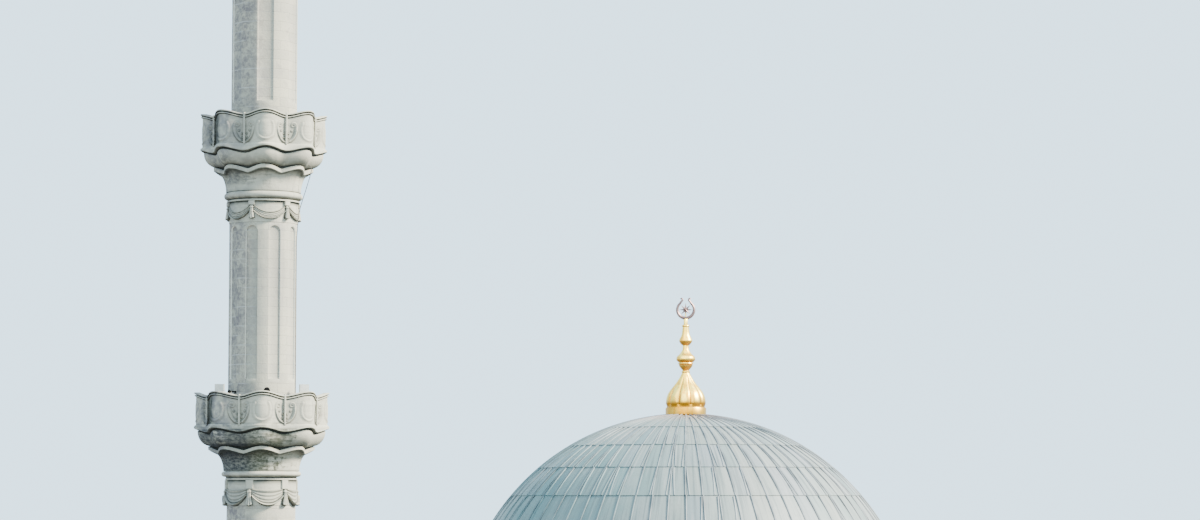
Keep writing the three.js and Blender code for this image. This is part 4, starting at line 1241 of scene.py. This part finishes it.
# %% Patches on a cylinder
def bent_slab(front, back_r, angle, dirt_and_shade):
    """A closed slab from a grid of [reach, height] over angles, with its back inside the shaft."""
    r, z = front
    outer, inner = around((0, 0), r, angle, z), around((0, 0), back_r, angle, z)
    n, m = r.shape
    k = n * m
    i, j = np.meshgrid(np.arange(n - 1), np.arange(m - 1), indexing="ij")
    quads = np.stack([i * m + j, i * m + j + 1, (i + 1) * m + j + 1, (i + 1) * m + j], -1).reshape(-1, 4)
    faces = quads.tolist() + (quads[:, ::-1] + k).tolist()
    rim = [*range(m), *[(i + 1) * m - 1 for i in range(1, n)], *range(n * m - 2, (n - 1) * m - 1, -1),
           *[i * m for i in range(n - 2, 0, -1)]]
    faces += [[b, a, a + k, b + k] for a, b in zip(rim, rim[1:] + rim[:1])]
    marks = {"hollow_dirt_and_shade": np.tile(np.broadcast_to(dirt_and_shade, r.shape).ravel(), 2)}
    points = np.concatenate([outer.reshape(-1, 3), inner.reshape(-1, 3)])
    return outward(new_piece("slab", points, faces, None, marks=marks))


def hump(v, middle, width):
    return np.exp(-((v - middle) / width) ** 2)


def swag_set(balcony):
    shaft, (wide, tall), (start, dip, end, drop_low) = (balcony[key] for key in ("shaft", "block", "cloth"))
    top = balcony["fillet"][0] - 0.002
    tie, back = top - tall, shaft - 0.04
    u, v = np.meshgrid(np.linspace(-1, 1, 89), np.linspace(0, 1, 37))
    span = math.radians(30)
    half = span - wide / shaft * 0.8
    sag = 1 - np.abs(u) ** 2.2
    z_top = tie - start - dip * sag
    z_low = tie - end - drop_low * sag
    z = z_top + (z_low - z_top) * v
    # Three folds run along the cloth; below it a thick roll, on the upper balcony a string of beads
    phase = 3.5 * math.pi * np.minimum(v / 0.76, 1) ** 0.9
    fold = 0.02 * np.abs(np.sin(phase))
    string = 1 - 0.35 * np.abs(np.sin(balcony["beads"] * math.pi * (u + 1) / 2)) if balcony["beads"] else 1.0
    roll = (0.085 if balcony["beads"] else 0.11) * hump(v, 0.895, 0.06) * string
    r = shaft + 0.03 + np.where(v < 0.79, fold + 0.02 * hump(v, 0.03, 0.05), 0) + roll
    r = np.where((v > 0.99) | (v < 0.01), shaft + 0.016, r)
    # Painted shade and dirt in the creases of the folds and over and under the roll; less on the roll's top
    creases = 0.36 * np.abs(np.cos(phase)) * (v < 0.76)
    dirt_and_shade = hump(v, 0.79, 0.05) + hump(v, 1.0, 0.06) + creases - 0.3 * hump(v, 0.89, 0.04)
    parts = [bent_slab((r, z), back, u * half, dirt_and_shade)]
    # At the left end of the span a square block with bevelled edges, with a tassel that widens downwards
    u, v = np.meshgrid([-1, -0.92, -0.6, -0.3, 0, 0.3, 0.6, 0.92, 1], [0, 0.25, 0.5, 0.75, 0.96, 1])
    z = top - tall * v
    rim = np.maximum(np.abs(u) > 0.99, v > 0.99)
    face = shaft + balcony["ledge"] + 0.02 - 0.04 * rim
    # The block's bevelled edges are painted darker: painted shade
    parts.append(bent_slab((face, z), back, u * wide / shaft - span, rim * 0.6 - 0.3))
    u, v = np.meshgrid(np.linspace(-1, 1, 25), np.linspace(0, 1, 25))
    flute = np.abs(np.cos(1.5 * math.pi * u))
    long = end + drop_low - 0.01
    wide = 0.034 + (0.055 if balcony["beads"] else 0.078) * v ** 1.5 + 0.02 * hump(v, 0.16, 0.06)
    z = tie - long * v * (1 - 0.10 * u ** 2)
    swell = (0.03 + 0.06 * v) * (0.6 + 0.4 * flute) * (1 - 0.55 * u ** 4) * np.clip((1 - v) / 0.04, 0.3, 1)
    r = shaft + 0.06 + swell + 0.02 * hump(v, 0.16, 0.05)
    # The tassel's flutes, ends and sides are painted darker: painted shade
    dirt_and_shade = 0.5 * (1 - flute) * (v > 0.2) + 0.9 * hump(v, 1.0, 0.05) + 0.9 * hump(v, 0.0, 0.05)
    dirt_and_shade = dirt_and_shade + 0.6 * (np.abs(u) > 0.95) - 0.3
    parts.append(bent_slab((r, z), back, u * wide / shaft - span, dirt_and_shade))
    copies(f"{balcony['name']}_swags", joined("swag", parts, None), 6, BALCONY_STONE, first=39.5,
           axis=(*MINARET, 0), sharp=40)


swag_set(UPPER)
swag_set(LOWER)

# %% [markdown]
# ## Balcony parapets
# The parapet is a lobed screen of thin slabs. Its coping has two fillets, a slim rib stands in each fold
# between two lobes, and a carved band loops across: a deep U hangs at each rib and a wider one on each lobe,
# and where their arms meet they curl into a small scroll. A bump map can't throw the soft shadows the photo
# shows, so the carving is worked out once, for one lobe, as a raised line on a fine grid, and repeated eight
# times.


# %% Carving of one lobe
def bead(x, z, line, width):
    """How high a raised line stands at each point, from 0 to 1, and how far off the line is."""
    line = np.array(line)
    best = np.full(x.shape, 9.0)
    for (ax, az), (bx, bz) in zip(line, line[1:]):
        dx, dz = bx - ax, bz - az
        t = np.clip(((x - ax) * dx + (z - az) * dz) / (dx * dx + dz * dz + 1e-12), 0, 1)
        best = np.minimum(best, np.hypot(x - ax - t * dx, z - az - t * dz))
    return np.exp(-(best / width) ** 2), best


def carving(x, z, half):
    """Relief over one lobe: x from one fold to the next, z above the balcony floor."""
    s = np.minimum(x, 2 * half - x)
    t = np.linspace(0, math.pi / 2, 12)
    fold_loop = [(0.34 * math.sin(a), 0.48 - 0.46 * math.cos(a)) for a in t] + [(0.335, 0.54)]
    spiral = zip(np.linspace(0.080, 0.030, 26), np.linspace(0.0, 8.2, 26))
    curl = [(0.255 + r * math.cos(a), 0.55 + r * math.sin(a)) for r, a in spiral]
    lobe_loop = [(half - 0.26 * math.sin(a), 0.32 - 0.22 * math.cos(a)) for a in t]
    lobe_loop += [(half - 0.27, 0.42), (half - 0.26, 0.52), (half - 0.22, 0.62)]
    height, groove_shade = np.zeros(x.shape), np.zeros(x.shape)
    # Beside each raised line a dark rim is painted: painted shade
    for line, width, tall in ((fold_loop, 0.028, 1.0), (curl, 0.020, 0.5), (lobe_loop, 0.032, 0.42)):
        ridge, gap = bead(s, z, line, width)
        if line is fold_loop:
            tall = 1 - 0.6 * np.clip((z - 0.28) / 0.25, 0, 1)
        height = np.maximum(height, ridge * tall)
        groove_shade = np.maximum(groove_shade, np.exp(-((gap - width * 1.9) / (width * 0.8)) ** 2) * tall)
    # The field inside the lobe's loop swells, the one between loop and rib is sunk and carries small balls;
    # the sunk field and a ring round each ball are painted darker as shade
    across = np.clip(1 - ((half - s) / 0.25) ** 2, 0, 1)
    lobe_field = np.sqrt(across) * np.clip((z - 0.12) / 0.15, 0, 1) * np.clip((0.68 - z) / 0.10, 0, 1)
    above_loop = z - 0.48 + 0.46 * np.sqrt(np.clip(1 - (s / 0.34) ** 2, 0, 1))
    rib_field = np.clip((0.33 - s) / 0.05, 0, 1) * np.clip(above_loop / 0.03, 0, 1)
    rib_field = rib_field * np.clip((0.62 - z) / 0.1, 0, 1)
    height = height + 0.3 * lobe_field - 0.3 * rib_field
    groove_shade = np.maximum(groove_shade * 0.62, 0.12 * rib_field)
    for ds, dz in ((0.075, 0.085), (0.088, 0.165), (0.09, 0.28), (0.20, 0.37)):
        gap = np.hypot(s - ds, z - dz)
        height = height + 0.7 * np.exp(-(gap / 0.02) ** 2)
        groove_shade = np.maximum(groove_shade, 0.8 * np.exp(-((gap - 0.036) / 0.014) ** 2))
    return height * 0.052, groove_shade


# %% Parapets
def parapet_piece(balcony):
    floor, rim, lobe = balcony["floor"], balcony["rim"], balcony["lobe"]
    columns, per = 768, 96
    inside, top, wave = rim - 0.17, balcony["top"], 0.13
    angle, turn = circle(columns), math.radians(balcony["turn"])
    fall = (1 + np.cos(8 * angle)) / 2
    half = rim * math.radians(22.5)
    x = (np.arange(columns) % per) / per * 2 * half
    # The flank right of the fold on the far left, turned away from the light, is painted dark: painted shade
    away = np.maximum(np.cos(angle + turn - TOWER_FACING + math.radians(62)), 0) ** 8
    painted_fold_shade = away * (0.95 * np.clip(1.5 * np.sin(8 * angle), 0, 1) + 0.5 * fall ** 2)
    rows, marks = [], []

    def row(r, z, mark=0.0):
        r, z, mark = (np.broadcast_to(value, (columns,)).astype(float) for value in (r, z, mark))
        rows.append((r, z))
        marks.append(mark + painted_fold_shade)

    ledge = top - 0.14 - wave * fall
    row(inside, floor + HAIR)
    for t in np.linspace(0, 1, 76):
        z = (floor + HAIR) * (1 - t) + ledge * t
        lift, groove_shade = carving(x, z - floor, half)
        row(rim - 0.06 + lift, z, groove_shade)
    # Coping: two fillets, with painted shade in the groove under and between them
    for dr, dz, mark in ((-0.075, -0.138, 1), (-0.075, -0.122, 1), (-0.024, -0.114, 0.1),
                         (-0.014, -0.104, -0.5), (-0.016, -0.084, -0.5), (-0.065, -0.076, 1),
                         (-0.065, -0.050, 1), (-0.008, -0.042, 0.1), (0.0, -0.032, -0.5),
                         (0.0, -0.010, -0.5), (-0.012, 0.0, 0)):
        row(rim + dr, top - wave * fall + dz, mark)
    row(inside + 0.01, top - wave * fall)
    row(inside, top - wave * fall - 0.01)
    row(inside, floor + 0.45)
    grid = [around(MINARET, r - lobe * fall, angle + turn, z) for r, z in rows]
    name, marks = balcony["name"], {"hollow_dirt_and_shade": np.array(marks).ravel()}
    return turned_piece(name + "_parapet_stone", np.array(grid), BALCONY_STONE, [name + "_balcony_parapet"],
                        sharp=50, marks=marks)


def rib_set(balcony):
    fold = balcony["rim"] - balcony["lobe"] - 0.03
    low, high = balcony["floor"] - 0.05, balcony["top"] - 0.10
    levels = [low, low + 0.012, low + 0.05, *np.linspace(low + 0.1, high - 0.02, 6), high]
    radii = [0.012, 0.03, 0.034, *[0.034] * 6, 0.026]
    rib = tube_piece("rib", [(0, -fold, z) for z in levels], radii, None, 14)
    copies(f"{balcony['name']}_ribs", rib, 8, BALCONY_STONE, first=balcony["turn"], axis=(*MINARET, 0),
           stray=0.25, seed=4)


for balcony in (LOWER, UPPER):
    parapet_piece(balcony)
    rib_set(balcony)

# %% [markdown]
# ## Foot, cornice, cone and finial of the minaret
# The photo doesn't show them, so they are plain: the foot passes from the square base to the round shaft, and
# a lead cone with rolls ends in a gilded finial with two knobs, smaller than the dome's.

# %% Foot
foot_rows = [(BORE_R, 9 + HAIR, 0), (1.75, 9 + HAIR, 1), (1.75, 9.5, 1), (1.72, 9.53, 1), (1.62, 9.6, 1),
             (1.58, 9.8, 0.95), (1.52, 10.2, 0.8), (1.45, 10.6, 0.6), (1.35, 11.1, 0.35), (1.22, 11.7, 0.1),
             (1.17, 11.95, 0.02), *[(r, z, 0) for r, z in torus_of(1.13, 12.1, 12.4, 0.11, 9)],
             (1.1, 12.44, 0), (1.1, SHAFT_FOOT - HAIR, 0), (BORE_R, SHAFT_FOOT - HAIR, 0)]
turn = circle(192)
to_square = 1 / np.maximum(np.abs(np.cos(turn)), np.abs(np.sin(turn)))
grid = [around(MINARET, r * (1 + square * (to_square - 1)), turn, z) for r, z, square in foot_rows]
turned_piece("minaret_foot_stone", np.array(grid), SHAFT_STONE, ["minaret_foot"], sharp=30)

# %% Cornice, cone and finial
cornice = [(BORE_R, SHAFT_TOP), (1.01, SHAFT_TOP), (1.01, 40.68), (1.04, 40.7), (1.04, 40.75),
           *curve_of((1.02, 40.78), (1.15, 40.98), "cove", 7), (1.16, 41.0), (1.16, 41.12),
           *torus_of(1.16, 41.14, 41.26, 0.06, 7), (1.24, 41.28), (1.24, 41.35), (BORE_R, 41.35)]
turned_piece("minaret_moulding", turned_rows(cornice, 128, MINARET), BALCONY_STONE, ["minaret_cornice"])
cone = [(0, 41.5), (BORE_R, 41.5), (BORE_R, 41.35 + HAIR), (1.27, 41.35 + HAIR), (1.3, 41.38), (1.3, 41.5),
        *smooth_profile([(1.27, 41.56), (1.14, 41.7), (1.06, 41.87)], 3)]
LAP_HEIGHTS = [41.87, 43.4, 44.9, 46.4, CONE_TOP]
for low, high in zip(LAP_HEIGHTS, LAP_HEIGHTS[1:]):
    wide, slim = (1.06 - 0.94 * (z - LAP_HEIGHTS[0]) / (CONE_TOP - LAP_HEIGHTS[0]) for z in (low, high))
    cone += [(wide + 0.02, low + 0.001), (slim, high)]
cone += [(0, CONE_TOP)]
turned_piece("minaret_cone_lead", turned_rows(cone, 112, MINARET), CONE_LEAD, ["minaret_cone"])
ridge = [(0, -(1.07 + (0.12 - 1.07) * t) - 0.004, 41.88 + (47.75 - 41.88) * t) for t in np.linspace(0, 1, 12)]
ridge = tube_piece("ridge", ridge, np.linspace(0.026, 0.014, 12), None, 8, up=(1, 0, 0))
copies("cone_rolls", ridge, 16, CONE_LEAD, axis=(*MINARET, 0))
knobs = [smooth_profile([(0.12, 0.36), (0.27, 0.52), (0.3, 0.63), (0.26, 0.76), (0.12, 0.93), (0.07, 1)], 4),
         smooth_profile([(0.1, 1.16), (0.2, 1.27), (0.205, 1.36), (0.13, 1.5), (0.06, 1.6)], 4),
         smooth_profile([(0.08, 1.72), (0.14, 1.8), (0.13, 1.88), (0.05, 2.0)], 3)]
tip = [(0.0, 0.0), (0.14, 0.0), (0.15, 0.02), (0.15, 0.07), (0.08, 0.13), (0.07, 0.28), *knobs[0],
       (0.07, 1.1), *knobs[1], (0.06, 1.68), *knobs[2], (0.045, 2.1), (0.03, 2.25), (0.0, 2.3)]
grid = finial_rows(tip, CONE_TOP + HAIR, 64, MINARET)[0]
turned_piece("minaret_finial_gilt", grid, GILT, ["minaret_finial"])

# %% [markdown]
# ## Small fittings
# Two horns look over the lower parapet, two box lamps stand behind it, and a thin conductor comes down from
# the upper balcony along the shaft. They are small, but the photo shows them, and they give the tower its
# scale.


# %% Horn, lamps and conductor
def at_minaret(angle, r, z):
    """A point by its angle from the camera's side, in degrees, positive to the right."""
    a = TOWER_FACING + math.radians(angle)
    return MINARET[0] + r * math.sin(a), MINARET[1] - r * math.cos(a), z


# Posts stand on the lower balcony's floor
DECK = 24.59
for name, angle, reach, height, size in (("front_horn", 6, 1.42, 25.585, 0.82),
                                         ("left_horn", -50, 1.30, 25.56, 0.55)):
    aim = TOWER_FACING + math.radians(angle)
    out = np.array([math.sin(aim), -math.cos(aim), 0])
    mouth = np.array(at_minaret(angle, reach, height))
    path = [mouth - out * d for d in (0.32, 0.25, 0.2, 0.12, 0.05, 0.0, -0.004, 0.02, 0.06)]
    radii = np.array([0.05, 0.055, 0.045, 0.05, 0.07, 0.115, 0.10, 0.075, 0.05]) * size
    tube_piece(name, path, radii, BLACK_PAINT, 24, up=(0, 0, 1))
    path = [mouth - out * d - (0, 0, 0.012) for d in (0.09, 0.03, 0.0)]
    tube_piece(name + "_driver", path, np.array([0.06, 0.06, 0.05]) * size, WHITE_METAL, 16, up=(0, 0, 1))
    path = [(*(mouth - out * 0.24)[:2], z) for z in np.linspace(DECK, 25.56, 4)]
    tube_piece(name + "_post", path, 0.018, IRON, 8)
lamps = []
for angle in (-59, 59):
    x, y, z = at_minaret(angle, 1.48, 25.65)
    a = TOWER_FACING + math.radians(angle * 0.2)
    box = prism("lamp", box_outline(0, 0.14, -0.13, 0.14), -0.07, 0.07)
    c, s = math.cos(a), math.sin(a)
    for v in box.data.vertices:
        px, py, pz = v.co / K
        v.co = ((x + px * c - py * s) * K, (y + px * s + py * c) * K, (z + pz) * K)
    lamps += [box, tube_piece("post", [(x, y, h) for h in (DECK, 25.0, 25.50)], 0.02, None, 8)]
joined("balcony_lamps", lamps, WHITE_METAL)

# The conductor leaves the lip of the upper corbel, follows its underside and goes straight down the shaft
route = [(70, 1.40, 32.47), (70, 1.51, 32.45), (70, 1.545, 32.33), (70, 1.49, 32.12), (71, 1.355, 31.72),
         (72, 1.26, 31.46), (73, 1.17, 31.2), (74, 1.11, 30.95), (75, 1.08, 30.6)]
route += [(75, 1.045, z) for z in np.linspace(30.2, 24.6, 12)]
tube_piece("lightning_conductor", [at_minaret(*spot) for spot in route], 0.011, IRON, 6, up=(0.3, 0.2, 0.1))

# %% [markdown]
# ## Camera, floor and light
# The photographer stood about a hundred metres off, level with the foot of the lower balcony and a little
# below the dome's top, so the horizon lies near the picture's lower edge. The light is that of a bright hazy
# day: a wide soft sun from the right and a pale sky that fills the shadows. Gilding shows what it mirrors,
# and an even sky leaves it flat, so a wide warm light, as from a bright cloud, reaches the gilding alone.

# %% Camera
eye = bpy.data.cameras.new("camera")
eye.lens, eye.sensor_width, eye.sensor_fit, eye.clip_end = 96.0, 36.0, "HORIZONTAL", 5000
camera = bpy.data.objects.new("camera", eye)
camera.location = (35.79 * K, -93.41 * K, 22.3 * K)
camera.rotation_euler = (math.radians(90 + 4.289), 0, FACING)
bpy.context.scene.collection.objects.link(camera)
bpy.context.scene.camera = camera

# %% Floor, sky and sun
ground = Finish("pale_floor", "ashlar", {"Roughness": 0.9})
ground.send("Base Color", ground.blend(ground.noise(0.05, 2), (0.17, 0.17, 0.165), (0.19, 0.19, 0.185)))
ring = circle(96)
floor_mesh = bpy.data.meshes.new("floor")
floor_mesh.from_pydata([(900 * math.cos(a), 900 * math.sin(a), -0.002) for a in ring], [], [list(range(96))])
floor_mesh.materials.append(ground.material)
floor_disc = bpy.data.objects.new("floor", floor_mesh)
bpy.context.scene.collection.objects.link(floor_disc)

sky = bpy.data.worlds.new("hazy sky")
sky.use_nodes = True
sky.node_tree.nodes["Background"].inputs["Color"].default_value = (0.60, 0.83, 1.0, 1)
sky.node_tree.nodes["Background"].inputs["Strength"].default_value = 2.95
bpy.context.scene.world = sky


def soft_sun(name, azimuth, height, strength, width, colour, only=()):
    """A sun by its angle from the camera's side, in degrees, positive to the right."""
    light = bpy.data.lights.new(name, "SUN")
    light.energy, light.angle, light.color = strength, math.radians(width), colour
    lamp = bpy.data.objects.new(name, light)
    lamp.rotation_euler = (math.radians(90 - height), 0, FACING + math.radians(azimuth))
    bpy.context.scene.collection.objects.link(lamp)
    if only:
        lit = bpy.data.collections.new(name + " lights only")
        for thing in only:
            lit.objects.link(thing)
        lamp.light_linking.receiver_collection = lit


soft_sun("hazy sun", 80, 36, 20.0, 12, (1.0, 0.93, 0.80))
gilded = [thing for thing in bpy.context.scene.objects
          if thing.type == "MESH" and GILT.material.name in thing.data.materials]
soft_sun("bright cloud", -15, 40, 6.5, 80, (1.0, 0.92, 0.60), gilded)

# %% Finish
bpy.context.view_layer.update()
